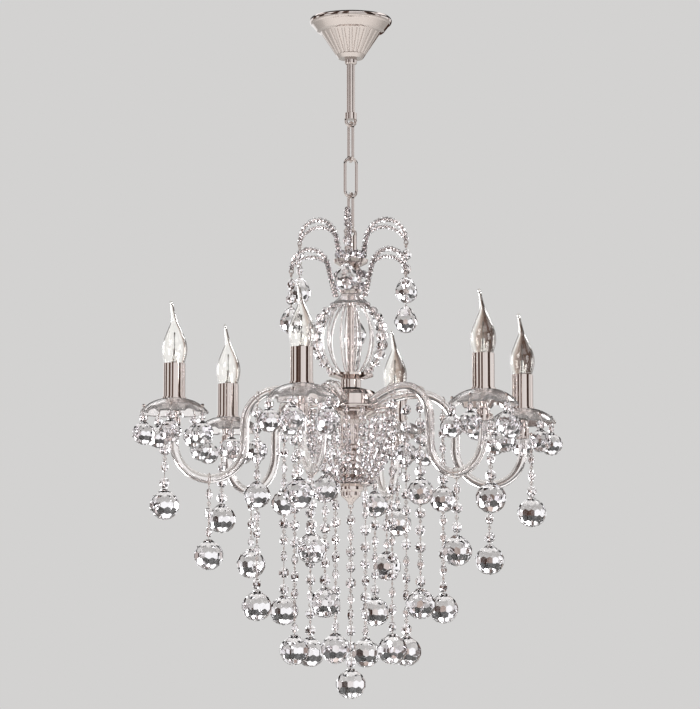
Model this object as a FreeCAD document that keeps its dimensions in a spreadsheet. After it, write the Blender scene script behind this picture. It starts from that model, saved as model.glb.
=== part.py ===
# Crystal chandelier with six candle arms, hung from a ceiling by a rod and a short chain.
# Millimetres, Z up. The origin lies in the ceiling's surface, on the axis that everything hangs on.
# Heights are below the ceiling, so they are negative. Azimuths are degrees from +X, seen from above.

import FreeCAD, Part
import math
import operator
import os

import Sketcher
from FreeCAD import Placement, Rotation, Vector

DOC = FreeCAD.newDocument("chandelier")
SHEET = DOC.addObject("Spreadsheet::Sheet", "Sizes")

ARMS = 6
STEP = 360 / ARMS
PETALS = 5
CAGE_RODS = 12
BASKET_CHAINS = 12
FLUTES = 24
BALL_SLOPES = (68, 27, -27, -68)

SIZES = [
    # clearances
    ("seat", 0.1, "gap round a piece that is seated in another"),
    ("run", 0.3, "gap between pieces that move on each other"),
    # fixing at the ceiling
    ("plate_long", 96, "length of the ceiling plate"),
    ("plate_wide", 22, "width of the ceiling plate"),
    ("plate_thick", 2.5, "thickness of the ceiling plate"),
    ("screw_gap", 70, "distance between the two screw holes"),
    ("screw_rad", 2.6, "radius of a screw hole"),
    ("boss_rad", 9, "radius of the boss that holds the rod"),
    ("boss_deep", 10, "depth of that boss"),
    ("block_long", 17, "length of the terminal block"),
    ("block_wide", 20, "width of the terminal block"),
    ("block_deep", 11, "depth of the terminal block"),
    ("block_start", 11, "distance of the terminal block from the axis"),
    ("wire_hole_rad", 1.8, "radius of a hole in the terminal block"),
    ("wire_hole_gap", 6.2, "distance between two holes in the terminal block"),
    # canopy and rod
    ("canopy_rad", 57.5, "largest radius of the canopy"),
    ("rim_deep", 9, "depth of the canopy's rim"),
    ("step_deep", 18, "depth down to the foot of the canopy's step"),
    ("step_rad", 47, "radius at the foot of the step"),
    ("flute_top_rad", 42, "radius where the flutes start"),
    ("flute_foot_rad", 19, "radius where the flutes end"),
    ("canopy_deep", 57, "depth of the canopy"),
    ("canopy_wall", 2.2, "wall of the canopy"),
    ("flute_rad", 3.2, "radius of the tool that cuts a flute"),
    ("flute_cut", 1.1, "depth of a flute"),
    ("rod_rad", 5.8, "radius of the down rod"),
    ("rod_bore", 4, "radius of the rod's bore"),
    ("rod_foot", -134, "height of the rod's lower end"),
    ("collar_rad", 8.5, "radius of the collar under the canopy"),
    ("collar_deep", 8, "depth of that collar"),
    ("coupler_rad", 8.3, "radius of the couplers above and below the chain"),
    ("coupler_deep", 9, "depth of the coupler on the rod"),
    # chain
    ("chain_top", -152, "height of the wire that the chain hangs on"),
    ("chain_pitch", 50, "pitch of the chain"),
    ("wire_rad", 2.1, "radius of the chain's wire"),
    ("link_wide", 21, "outer width of a link"),
    ("loop_rad", 7, "centre-line radius of the loops at the chain's ends"),
    ("chain_turn", 20, "azimuth of the plane of the middle link"),
    # stem and crown
    ("coupler_foot", -326, "height of the lower coupler's foot"),
    ("stem_rad", 5, "radius of the stem"),
    ("stem_foot", -648, "height of the stem's lower end"),
    ("cup_rad", 22, "radius of the crown's upper plate"),
    ("cup_top", -343, "height of the crown's upper plate"),
    ("cup_foot", -352, "height of the crown cup's foot"),
    ("baluster_rad", 25, "radius of the crown's glass baluster"),
    ("bell_top", -394, "height of the glass bell's plate"),
    ("bell_rad", 40, "radius of the glass bell's plate"),
    ("bell_rim", 8, "thickness of the bell's plate"),
    ("bell_foot", -422, "height of the glass bell's foot"),
    ("upper_root", 15, "radius at which the upper fronds are rooted"),
    ("upper_lean", 9, "how far an upper frond leans out before it bends"),
    ("upper_rise", 37, "how far an upper frond rises before it bends"),
    ("upper_bend", 35, "radius of an upper frond's rising bend"),
    ("upper_fall", 28, "radius of an upper frond's falling bend"),
    ("lower_root", 33, "radius at which the lower fronds are rooted"),
    ("lower_lean", 3.7, "how far a lower frond leans out before it bends"),
    ("lower_rise", 42, "how far a lower frond rises before it bends"),
    ("lower_bend", 24, "radius of a lower frond's rising bend"),
    ("lower_fall", 30, "radius of a lower frond's falling bend"),
    ("frond_rad", 2.2, "radius of a frond's wire"),
    ("frond_inner", 45, "radius of the inner band of a frond"),
    ("eye_rad", 3, "centre-line radius of a frond's eye"),
    ("eye_wire", 0.9, "radius of the wire of an eye"),
    # cage
    ("cage_top_rad", 28, "radius at which the cage rods start"),
    ("cage_foot_rad", 17, "radius at which the cage rods end"),
    ("cage_rod_rad", 1.8, "radius of a cage rod"),
    ("cage_bow", 58, "radius of a cage rod's bow"),
    ("swag_top_rad", 36, "radius at which the garlands start"),
    ("swag_foot_rad", 27, "radius at which the garlands end"),
    ("swag_bow", 60, "radius of a garland's bow"),
    ("swag_bead", 7, "radius of a garland's bead"),
    # hub, nut and finial
    ("hub_top", -500, "height of the hub's flange"),
    ("flange_rad", 31, "radius of the hub's flange"),
    ("neck_rad", 14, "radius of the hub's neck"),
    ("drum_rad", 38, "radius of the hub's drum"),
    ("drum_top", -524, "height of the drum's top"),
    ("drum_foot", -560, "height of the drum's foot"),
    ("column_rad", 14, "radius of the column under the drum"),
    ("hub_foot", -605, "height of the hub's lower end"),
    ("nut_rad", 12, "radius of the lock nut's corners"),
    ("bowl_top", -626, "height of the finial's top"),
    ("bowl_rad", 19, "radius of the finial's bowl"),
    ("tray_top", -651, "height of the finial's tray"),
    ("tray_rad", 30, "radius of the finial's tray"),
    ("finial_rad", 18, "radius of the finial's steps"),
    ("finial_foot", -680, "height of the finial's foot"),
    # basket
    ("basket_rad", 62, "radius of the basket's ring"),
    ("basket_top", -548, "height of the basket's ring"),
    ("basket_wire", 1.8, "radius of the wire of the basket's ring"),
    ("basket_foot_rad", 25, "radius at which the basket's chains end"),
    ("basket_bow", 150, "radius of a basket chain's bow"),
    ("basket_bead", 5.5, "radius of a bead of the basket"),
    # arms
    ("arm_turn", 15, "azimuth of the first arm"),
    ("candle_ring", 248, "radius of the circle of candles"),
    ("inner_leg", 150, "radius at which the inner legs of the arms stand"),
    ("arm_rad", 6.25, "radius of an arm's glass tube"),
    ("arm_top", -569, "height of an arm's outer end"),
    ("leg_foot", -600, "height at which the legs join the lower bend"),
    ("shoulder", -575, "height at which the inner leg turns inward"),
    ("shoulder_bend", 50, "radius of the shoulder"),
    ("arm_root_rad", 33, "radius of an arm's inner end"),
    ("arm_root", -546, "height of an arm's inner end"),
    ("ferrule_rad", 9, "radius of the ferrule on an arm's outer end"),
    ("ferrule_deep", 14, "depth of that ferrule"),
    ("peg_rad", 1.2, "radius of the peg that carries a string"),
    ("peg_long", 7, "length of that peg"),
    # candle
    ("spigot_rad", 4.5, "radius of the spigot through the glass dish"),
    ("pan_top", -539, "height of the pan that the sleeve stands on"),
    ("pan_rad", 16.5, "radius of the pan"),
    ("pan_thick", 2, "thickness of the pan"),
    ("sleeve_rad", 15, "outer radius of a candle sleeve"),
    ("sleeve_wall", 1, "wall of a candle sleeve"),
    ("sleeve_top", -493, "height of a sleeve's top"),
    ("holder_rad", 12.5, "outer radius of a lamp holder"),
    ("holder_long", 39, "length of a lamp holder"),
    ("base_rad", 7, "radius of a bulb's base"),
    ("base_long", 22, "length of a bulb's base"),
    ("bulb_rad", 17.5, "largest radius of a bulb"),
    ("bulb_long", 76, "height of a bulb's glass above the sleeve, without its tip"),
    ("bulb_belly", 23, "height of the bulb's belly above the sleeve"),
    ("tip_long", 11, "length of the bent tip"),
    ("tip_lean", 5, "how far the tip leans"),
    # glass dish
    ("dish_rad", 47, "radius of the glass dish"),
    ("dish_flat", 18, "radius of the dish's flat middle"),
    ("dish_droop", 18, "how far the petals droop"),
    ("dish_curve", 48, "radius of the petals' curve"),
    ("dish_thick", 3, "thickness of the dish"),
    ("notch_rad", 13, "radius of the notch between two petals"),
    ("notch_ring", 54, "distance of a notch from the dish's axis"),
    ("hook_ring", 42, "distance of a drop's hole from the dish's axis"),
    ("hook_hole", 1.6, "radius of a drop's hole"),
    ("funnel_foot", 7.5, "radius of the funnel's foot"),
    # crystals
    ("pin_rad", 0.7, "radius of the wire that holds the crystals"),
    ("pin_head", 2.4, "radius of a head pin's head"),
    ("small_bead", 3.4, "radius of the small bead above a dish's ball"),
    ("ball_rad", 20, "radius of a string's ball"),
    ("middle_ball_rad", 18, "radius of the ball half way down a string"),
    ("drop_rad", 15.5, "radius of a dish's ball"),
    ("crown_ball_rad", 15, "radius of a crown ball"),
    ("bead_pitch", 22.5, "pitch of the octagon beads"),
    ("bead_half", 7.2, "half the width of an octagon bead"),
    ("bead_thick", 4.4, "half the thickness of an octagon bead"),
    ("drop_fall", 33, "distance from a dish's hole to its ball's middle"),
    ("outer_ring", 260.5, "radius of the circle of outer strings"),
    ("outer_ball", -686, "height of an outer string's ball"),
    ("bend_ball", -753, "height of the balls under the lower bends"),
    ("inner_ring", 132, "radius of the circle of inner strings"),
    ("inner_middle", -670, "height of an inner string's middle ball"),
    ("inner_ball", -821, "height of an inner string's ball"),
    ("core_ring", 79, "radius of the circle of core strings"),
    ("core_ball", -880, "height of a core string's ball"),
    ("centre_ball", -925, "height of the lowest ball"),
    ("upper_drop", -376, "height of an upper frond's ball"),
    ("lower_drop", -415, "height of a lower frond's ball"),
]

for row, (alias, value, note) in enumerate(SIZES, start=1):
    SHEET.set(f"A{row}", note)
    SHEET.set(f"B{row}", str(value))
    SHEET.setAlias(f"B{row}", alias)
DOC.recompute()


# ---------------------------------------------------------------- sizes as formulas

class Size:
    """A length or an angle: its value now, and the formula that ties it to the sheet."""

    def __init__(self, value, formula):
        self.value = value
        self.formula = formula

    def __add__(self, other):
        return combined(self, "+", other)

    def __radd__(self, other):
        return combined(other, "+", self)

    def __sub__(self, other):
        return combined(self, "-", other)

    def __rsub__(self, other):
        return combined(other, "-", self)

    def __mul__(self, other):
        return combined(self, "*", other)

    def __rmul__(self, other):
        return combined(other, "*", self)

    def __truediv__(self, other):
        return combined(self, "/", other)

    def __neg__(self):
        return combined(0, "-", self)


SIGNS = {"+": operator.add, "-": operator.sub, "*": operator.mul, "/": operator.truediv}


def sized(length):
    """A plain number as a size."""
    if isinstance(length, Size):
        return length
    return Size(float(length), f"({float(length)})")


def combined(first, sign, second):
    """The size that two others make with a sign between them."""
    first, second = sized(first), sized(second)
    value = SIGNS[sign](first.value, second.value)
    return Size(value, f"({first.formula} {sign} {second.formula})")


def slant_cos(angle):
    """The cosine of an angle in degrees."""
    return Size(math.cos(math.radians(angle.value)), f"cos({angle.formula})")


def slant_sin(angle):
    """The sine of an angle in degrees."""
    return Size(math.sin(math.radians(angle.value)), f"sin({angle.formula})")


class Named:
    """The sheet's sizes by name."""

    def __getattr__(self, alias):
        return Size(float(SHEET.get(alias)), "Sizes." + alias)


d = Named()


# ---------------------------------------------------------------- drawing helpers

def origin_plane(body, role):
    """One of a body's own origin planes."""
    return next(f for f in body.Origin.OriginFeatures if f.Role == role)


def sketch_on(body, name, role, height=None):
    """An empty sketch on an origin plane, or at a height above it."""
    sketch = body.newObject("Sketcher::SketchObject", name)
    sketch.AttachmentSupport = (origin_plane(body, role), [""])
    sketch.MapMode = "FlatFace"
    if height is not None:
        sketch.AttachmentOffset = Placement(Vector(0, 0, height.value), Rotation())
        sketch.setExpression("AttachmentOffset.Base.z", height.formula)
    return sketch


def tie(sketch, kind, size, *where):
    """A constraint with a name, whose number follows the sheet."""
    size = sized(size)
    number = sketch.addConstraint(Sketcher.Constraint(kind, *where, size.value))
    label = f"size{number}"
    sketch.renameConstraint(number, label)
    sketch.setExpression("Constraints." + label, size.formula)


def hold(sketch, element, point, x, y):
    """Hold one point of an element at x, y."""
    for kind, axis, place in (("DistanceX", -2, x), ("DistanceY", -1, y)):
        if sized(place).formula == "(0.0)":
            sketch.addConstraint(Sketcher.Constraint("PointOnObject", element, point, axis))
        else:
            tie(sketch, kind, place, -1, 1, element, point)


def arc_between(a, b, radius, side):
    """The short arc from a to b, bulging to the left (1) or right (-1), and its ends in a's, b's order."""
    left = Vector(a.y - b.y, b.x - a.x, 0).normalize()
    depth = math.sqrt(max(radius ** 2 - ((b - a).Length / 2) ** 2, 0))
    centre = (a + b) / 2 - left * side * depth
    circle = Part.Circle(centre, Vector(0, 0, 1), radius)
    start, end = (math.atan2(p.y - centre.y, p.x - centre.x) for p in (a, b))
    if side > 0:
        return Part.ArcOfCircle(circle, end, start), (2, 1)
    return Part.ArcOfCircle(circle, start, end), (1, 2)


def draw(sketch, corners, closed=True):
    """An outline or a path. A corner is (x, y), or (x, y, radius, side) where an arc leaves it."""
    spots = [Vector(sized(c[0]).value, sized(c[1]).value, 0) for c in corners]
    total = len(corners) if closed else len(corners) - 1
    ends = []
    for number in range(total):
        corner, a, b = corners[number], spots[number], spots[(number + 1) % len(spots)]
        if len(corner) == 4:
            shape, order = arc_between(a, b, sized(corner[2]).value, corner[3])
        else:
            shape, order = Part.LineSegment(a, b), (1, 2)
        ends.append((sketch.addGeometry(shape, False), *order))
    for number, (element, first, last) in enumerate(ends):
        hold(sketch, element, first, *corners[number][:2])
        if closed or number + 1 < total:
            follower = ends[(number + 1) % total]
            sketch.addConstraint(Sketcher.Constraint("Coincident", element, last, follower[0], follower[1]))
        else:
            hold(sketch, element, last, *corners[-1][:2])
        if len(corners[number]) == 4:
            tie(sketch, "Radius", corners[number][2], element)


def ring_sketch(body, name, role, x, y, radius, height=None):
    """A sketch with one circle."""
    sketch = sketch_on(body, name, role, height)
    add_circle(sketch, x, y, radius)
    return sketch


def add_circle(sketch, x, y, radius):
    """One more circle in a sketch."""
    centre = Vector(sized(x).value, sized(y).value, 0)
    element = sketch.addGeometry(Part.Circle(centre, Vector(0, 0, 1), sized(radius).value), False)
    hold(sketch, element, 3, x, y)
    tie(sketch, "Radius", radius, element)


def turned(name, corners):
    """A piece turned about its own upright axis, from half its outline."""
    body = DOC.addObject("PartDesign::Body", name)
    profile = sketch_on(body, name + "_outline", "XZ_Plane")
    draw(profile, corners)
    turning = body.newObject("PartDesign::Revolution", name + "_turning")
    turning.Profile = (profile, [""])
    turning.ReferenceAxis = (profile, ["V_Axis"])
    turning.Angle = 360
    return body


def bent(name, route, radius):
    """A round rod along a route that starts upright, in the plane of X and Z."""
    body = DOC.addObject("PartDesign::Body", name)
    path = sketch_on(body, name + "_path", "XZ_Plane")
    draw(path, route, closed=False)
    section = ring_sketch(body, name + "_section", "XY_Plane", route[0][0], 0, radius, route[0][1])
    DOC.recompute()
    pipe = body.newObject("PartDesign::AdditivePipe", name + "_pipe")
    pipe.Profile = (section, [""])
    pipe.Spine = (path, [f"Edge{number + 1}" for number in range(len(route) - 1)])
    return body


def place(thing, x=0, y=0, z=0, turn=0, axis=Vector(0, 0, 1)):
    """Put a thing at x, y, z, turned about an axis, and tie all four to the sheet."""
    x, y, z, turn = (sized(value) for value in (x, y, z, turn))
    thing.Placement = Placement(Vector(x.value, y.value, z.value), Rotation(axis, turn.value))
    for path, size in (("Base.x", x), ("Base.y", y), ("Base.z", z), ("Rotation.Angle", turn)):
        thing.setExpression("Placement." + path, size.formula)
    return thing


def primitive(kind, name, **sizes):
    """A basic solid whose sizes follow the sheet."""
    solid = DOC.addObject("Part::" + kind, name)
    for key, size in sizes.items():
        setattr(solid, key, sized(size).value)
        solid.setExpression(key, sized(size).formula)
    return solid


def torus(name, ring, wire, sweep=360):
    """A ring of round wire, flat in X and Y, or a part of one."""
    return primitive("Torus", name, Radius1=ring, Radius2=wire, Angle3=sweep)


def group(name, members):
    """Several solids that belong together, each where it stands."""
    together = DOC.addObject("Part::Compound", name)
    together.Links = members
    return together


def copy_of(pattern, name, **where):
    """The same piece once more, at its own place."""
    return place(group(name, [pattern]), **where)


def around(pattern, name, count, start=0):
    """Copies of a piece, evenly round the axis."""
    return [
        copy_of(pattern, f"{name}_at_{number + 1}", turn=start + sized(number * 360 / count))
        for number in range(count)
    ]


def joined(name, members):
    """Several solids grown into one."""
    whole = DOC.addObject("Part::MultiFuse", name)
    whole.Shapes = members
    return whole


def cut(name, base, tool):
    """One solid less another."""
    rest = DOC.addObject("Part::Cut", name)
    rest.Base = base
    rest.Tool = tool
    return rest


# ---------------------------------------------------------------- cut crystals

def mm(alias):
    """A size of the sheet as a plain number."""
    return float(SHEET.get(alias))


def flat_faced(rings):
    """A solid with flat faces through rings of points, each ring below the one before."""
    sides = len(rings[0])
    points = [point for ring in rings for point in ring]
    corners = []
    for row in range(len(rings) - 1):
        for side in range(sides):
            upper, after = row * sides + side, row * sides + (side + 1) % sides
            lower, lower_after = upper + sides, after + sides
            corners += [(upper, lower, lower_after), (upper, lower_after, after)]
    foot = len(points) - sides
    for side in range(1, sides - 1):
        corners += [(0, side, side + 1), (foot, foot + side + 1, foot + side)]
    shell = Part.Shape()
    shell.makeShapeFromMesh((points, corners), 0.0001)
    solid = Part.makeSolid(shell)
    if solid.Volume < 0:
        solid.reverse()
    return solid


def level(z, half_width, half_thick):
    """A four-sided section of a bead: its edges point along Y, its ridges along X."""
    return [
        Vector(0, half_width, z), Vector(-half_thick, 0, z), Vector(0, -half_width, z), Vector(half_thick, 0, z),
    ]


def bead_run(top, foot):
    """Octagon beads on their wire, evenly spaced from top to foot."""
    wire, half, thick = mm("pin_rad"), mm("bead_half"), mm("bead_thick")
    count = max(1, round((top - foot) / mm("bead_pitch")))
    pitch = (top - foot) / count
    rings = [level(top, wire, wire)]
    for number in range(count):
        middle = top - (number + 0.5) * pitch
        rings += [
            level(middle + half, wire, wire), level(middle + half * 0.4, half, thick),
            level(middle - half * 0.4, half, thick), level(middle - half, wire, wire),
        ]
    rings.append(level(foot, wire, wire))
    return flat_faced(rings)


def ball(middle, radius):
    """A faceted ball, flat at its top and foot."""
    sides = 8
    rings = []
    for slope in BALL_SLOPES:
        out, rise = radius * math.cos(math.radians(slope)), radius * math.sin(math.radians(slope))
        rings.append([
            Vector(out * math.cos(math.tau * side / sides), out * math.sin(math.tau * side / sides), middle + rise)
            for side in range(sides)
        ])
    return flat_faced(rings)


def ball_end(radius):
    """How far a ball's flat top stands above its middle."""
    return radius * math.sin(math.radians(BALL_SLOPES[0]))


def hanger(height, ring_rad):
    """A wire ring across X, centred on the origin's height plus height."""
    return Part.makeTorus(ring_rad, mm("pin_rad"), Vector(0, 0, height), Vector(1, 0, 0))


def beads_along(spots, radii, sides):
    """Round beads threaded on a bow in the plane of X and Z, with the given radius at each spot."""
    turns = [math.tau * side / sides for side in range(sides)]
    rings = []
    for number, (spot, radius) in enumerate(zip(spots, radii)):
        before, after = spots[max(number - 1, 0)], spots[min(number + 1, len(spots) - 1)]
        ahead = (after - before).normalize()
        if number in (0, len(spots) - 1):
            ahead = Vector(0, 0, -1)
        out = Vector(-ahead.z, 0, ahead.x)
        rings.append([
            spot + out * radius * math.cos(turn) + Vector(0, radius * math.sin(turn), 0) for turn in turns
        ])
    return flat_faced(rings)


def bow(start, end, radius, parts):
    """Evenly spaced spots on the outward bow from start to end, in the plane of X and Z."""
    a, b = Vector(*start, 0), Vector(*end, 0)
    arc, _ = arc_between(a, b, radius, 1)
    spots = [arc.value(arc.LastParameter + (arc.FirstParameter - arc.LastParameter) * k / parts)
             for k in range(parts + 1)]
    return [Vector(spot.x, 0, spot.y) for spot in spots]


def bead_bow(start, end, radius, beads, bead_rad, thread, sides):
    """A bow of touching beads, thin at both ends and between the beads."""
    spots = bow(start, end, radius, beads * 2)
    radii = []
    for number in range(len(spots)):
        share = math.sin(math.pi * number / (len(spots) - 1))
        radii.append(thread + (bead_rad - thread) * (0.35 + 0.65 * share) if number % 2 else thread)
    return beads_along(spots, radii, sides)


def crystal(name, solids, x=0.0):
    """A hung crystal piece, made on its own axis and then put at x."""
    feature = DOC.addObject("Part::Feature", name)
    feature.Shape = Part.makeCompound(solids)
    feature.Placement = Placement(Vector(x, 0, 0), Rotation())
    return feature


def string(name, x, hang, ring_rad, ball_height, middle_height=None):
    """A string: a wire ring at its hook, beads, perhaps a ball on the way, and the ball at its foot."""
    top = hang - ring_rad
    stops = [(middle_height, mm("middle_ball_rad"))] if middle_height else []
    stops.append((ball_height, mm("ball_rad")))
    solids = []
    for height, radius in stops:
        run = bead_run(top, height + ball_end(radius))
        if not solids:
            run = run.fuse(hanger(hang, ring_rad))
        solids += [run, ball(height, radius)]
        top = height - ball_end(radius)
    return crystal(name, solids, x)


# ---------------------------------------------------------------- ceiling and rod

def ceiling_plate():
    """A steel strap with a screw hole near each end and a boss that holds the rod."""
    body = DOC.addObject("PartDesign::Body", "ceiling_plate")
    outline = sketch_on(body, "plate_outline", "XY_Plane")
    half, wide = d.plate_long / 2 - d.plate_wide / 2, d.plate_wide / 2
    draw(outline, [
        (-half, -wide), (half, -wide, wide * 1.0001, -1), (half, wide), (-half, wide, wide * 1.0001, -1),
    ])
    pad = body.newObject("PartDesign::Pad", "plate_pad")
    pad.Profile = (outline, [""])
    pad.setExpression("Length", d.plate_thick.formula)
    pad.Reversed = True
    boss = ring_sketch(body, "boss_circle", "XY_Plane", 0, 0, d.boss_rad)
    boss_pad = body.newObject("PartDesign::Pad", "boss_pad")
    boss_pad.Profile = (boss, [""])
    boss_pad.setExpression("Length", (d.plate_thick + d.boss_deep).formula)
    boss_pad.Reversed = True
    DOC.recompute()
    holes = sketch_on(body, "screw_holes", "XY_Plane")
    add_circle(holes, d.screw_gap / 2, 0, d.screw_rad)
    add_circle(holes, -d.screw_gap / 2, 0, d.screw_rad)
    screws = body.newObject("PartDesign::Pocket", "screw_pocket")
    screws.Profile = (holes, [""])
    screws.Type = "ThroughAll"
    seat = ring_sketch(body, "rod_seat", "XY_Plane", 0, 0, d.rod_rad + d.seat, -(d.plate_thick + d.boss_deep))
    bore = body.newObject("PartDesign::Pocket", "rod_bore")
    bore.Profile = (seat, [""])
    bore.Reversed = True
    bore.setExpression("Length", d.boss_deep.formula)
    return body


def terminal_block():
    """The block that joins the house wires to the lamp's wires, under the plate."""
    block = primitive("Box", "block_body", Length=d.block_long, Width=d.block_wide, Height=d.block_deep)
    holes = []
    for number in (-1, 0, 1):
        hole = primitive("Cylinder", f"wire_hole_{number + 2}", Radius=d.wire_hole_rad, Height=d.block_long)
        place(hole, x=-d.block_start - d.block_long, y=number * d.wire_hole_gap,
              z=-d.plate_thick - d.block_deep / 2, turn=90, axis=Vector(0, 1, 0))
        holes.append(hole)
    place(block, x=-d.block_start - d.block_long, y=-d.block_wide / 2, z=-d.plate_thick - d.block_deep)
    return cut("terminal_block", block, group("wire_holes", holes))


def canopy():
    """A fluted metal bowl with a wide rounded rim and a stepped shoulder, open towards the ceiling."""
    wall, rim, foot = d.canopy_wall, d.rim_deep, -d.canopy_deep
    shell = turned("canopy_shell", [
        (d.canopy_rad - wall * 2, 0), (d.canopy_rad - 2, 0, rim * 0.6, 1), (d.canopy_rad - 3.5, -rim),
        (d.step_rad, -d.step_deep), (d.flute_top_rad, -d.step_deep - 1.5), (d.flute_foot_rad, foot + 3),
        (d.flute_foot_rad - 2, foot), (d.rod_rad + d.run, foot), (d.rod_rad + d.run, foot + wall),
        (d.flute_foot_rad - wall * 1.4, foot + wall), (d.flute_top_rad - wall * 1.3, -d.step_deep),
        (d.step_rad - wall * 1.4, -d.step_deep + wall), (d.canopy_rad - 3.5 - wall * 1.3, -rim + wall / 2),
    ])
    fall, run = d.canopy_deep - 3 - d.step_deep - 1.5, d.flute_top_rad - d.flute_foot_rad
    slope = math.degrees(math.atan2(run.value, fall.value))
    lean = Size(slope, f"atan({run.formula} / {fall.formula})")
    tool = primitive("Cylinder", "flute_tool", Radius=d.flute_rad, Height=fall / slant_cos(lean) - 5)
    shift = d.flute_rad - d.flute_cut
    place(tool, x=d.flute_foot_rad + shift * slant_cos(lean) + 2.5 * slant_sin(lean),
          z=-d.canopy_deep + 5.5 - shift * slant_sin(lean), turn=lean, axis=Vector(0, 1, 0))
    flutes = group("flute_tools", around(tool, "flute", FLUTES))
    return cut("canopy", shell, flutes)


def canopy_collar():
    """The ring that holds the canopy up on the rod."""
    top = -d.canopy_deep
    foot = top - d.collar_deep
    return turned("canopy_collar", [
        (d.rod_rad + d.run, top), (d.collar_rad, top), (d.collar_rad, foot + 1.5), (d.collar_rad - 1.5, foot),
        (d.rod_rad + d.run, foot),
    ])


def end_loop(name, coupler_top, coupler_deep, ring_height):
    """A coupler with a wire loop that stands across Y."""
    coupler = primitive("Cylinder", name + "_coupler", Radius=d.coupler_rad, Height=coupler_deep)
    place(coupler, z=coupler_top - coupler_deep)
    loop = torus(name + "_ring", d.loop_rad, d.wire_rad)
    place(loop, z=ring_height, turn=90, axis=Vector(1, 0, 0))
    return joined(name + "_whole", [coupler, loop])


def down_rod():
    """The rod with the loop that the chain hangs on."""
    top = -d.plate_thick
    tube = turned("rod_tube", [
        (d.rod_bore, top), (d.rod_rad, top), (d.rod_rad, d.rod_foot), (d.rod_bore, d.rod_foot),
    ])
    loop = end_loop("rod_loop", d.rod_foot, d.coupler_deep, d.chain_top + d.loop_rad)
    return group("down_rod", [tube, copy_of(loop, "rod_loop_turned", turn=d.chain_turn)])


# ---------------------------------------------------------------- chain

def link_top(number):
    """The height of the wire that link number hangs on."""
    return d.chain_top - (number - 1) * d.chain_pitch


def chain_link(number):
    """A long link of round wire. Each stands across the one before."""
    bend = d.link_wide / 2 - d.wire_rad
    upper = link_top(number) + 2 * d.wire_rad + d.run - bend
    lower = link_top(number + 1) + bend
    name = f"link_{number}"
    arches = [torus(f"{name}_{end}_bend", bend, d.wire_rad, 180) for end in ("upper", "lower")]
    place(arches[0], z=upper, turn=90, axis=Vector(1, 0, 0))
    place(arches[1], z=lower, turn=-90, axis=Vector(1, 0, 0))
    sides = []
    for side in (-1, 1):
        bar = primitive("Cylinder", f"{name}_side_{side + 2}", Radius=d.wire_rad, Height=upper - lower)
        sides.append(place(bar, x=side * bend, z=lower))
    whole = joined(name + "_whole", arches + sides)
    return copy_of(whole, f"chain_link_{number}", turn=d.chain_turn + (90 if number % 2 else 0))


# ---------------------------------------------------------------- stem and crown

def top_loop():
    """The loop at the chain's lower end, on top of the stem."""
    ring_height = link_top(4) + 2 * d.wire_rad + d.run - d.loop_rad
    top = ring_height - d.wire_rad
    loop = end_loop("body_loop", top, top - d.coupler_foot, ring_height)
    return copy_of(loop, "top_loop", turn=d.chain_turn)


def stem_tube():
    """The steel stem through the body, and the brass lock nut that carries the hub."""
    rod = turned("stem_rod", [
        (0, d.coupler_foot), (d.stem_rad, d.coupler_foot), (d.stem_rad, d.stem_foot), (0, d.stem_foot),
    ])
    bore, top, foot = d.stem_rad + d.seat, d.hub_foot, d.bowl_top
    nut = turned("lock_nut", [
        (bore, top), (d.nut_rad - 2, top), (d.nut_rad, top - 2), (d.nut_rad, top - 6), (d.nut_rad - 3, top - 8),
        (d.nut_rad - 3, foot + 7), (d.nut_rad, foot + 5), (d.nut_rad, foot + 1.5), (d.nut_rad - 1.5, foot),
        (bore, foot),
    ])
    return group("stem_tube", [rod, nut])


def crown_cup():
    """The metal cup that the upper fronds stand in."""
    bore, top, plate, foot = d.stem_rad + d.seat, d.coupler_foot, d.cup_top, d.cup_foot
    return turned("crown_cup", [
        (bore, top), (d.coupler_rad, top), (d.coupler_rad, plate), (d.cup_rad - 2, plate), (d.cup_rad, plate + 2.5),
        (d.cup_rad + 2, plate + 2.5), (d.cup_rad + 1, plate - 2), (10, foot), (bore, foot),
    ])


def crown_bell():
    """The glass baluster and the bell that carries the lower fronds and the cage."""
    bore, top, plate, foot = d.stem_rad + d.seat, d.cup_foot, d.bell_top, d.bell_foot
    rim = plate - d.bell_rim
    return turned("crown_bell", [
        (bore, top), (12, top, d.baluster_rad, 1), (d.baluster_rad, top - 16, d.baluster_rad, 1),
        (13, top - 32), (13, plate + 6), (20, plate), (d.bell_rad - 2, plate), (d.bell_rad, plate - 3),
        (d.bell_rad - 3, rim), (22, rim), (13, foot), (bore, foot),
    ])


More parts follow.
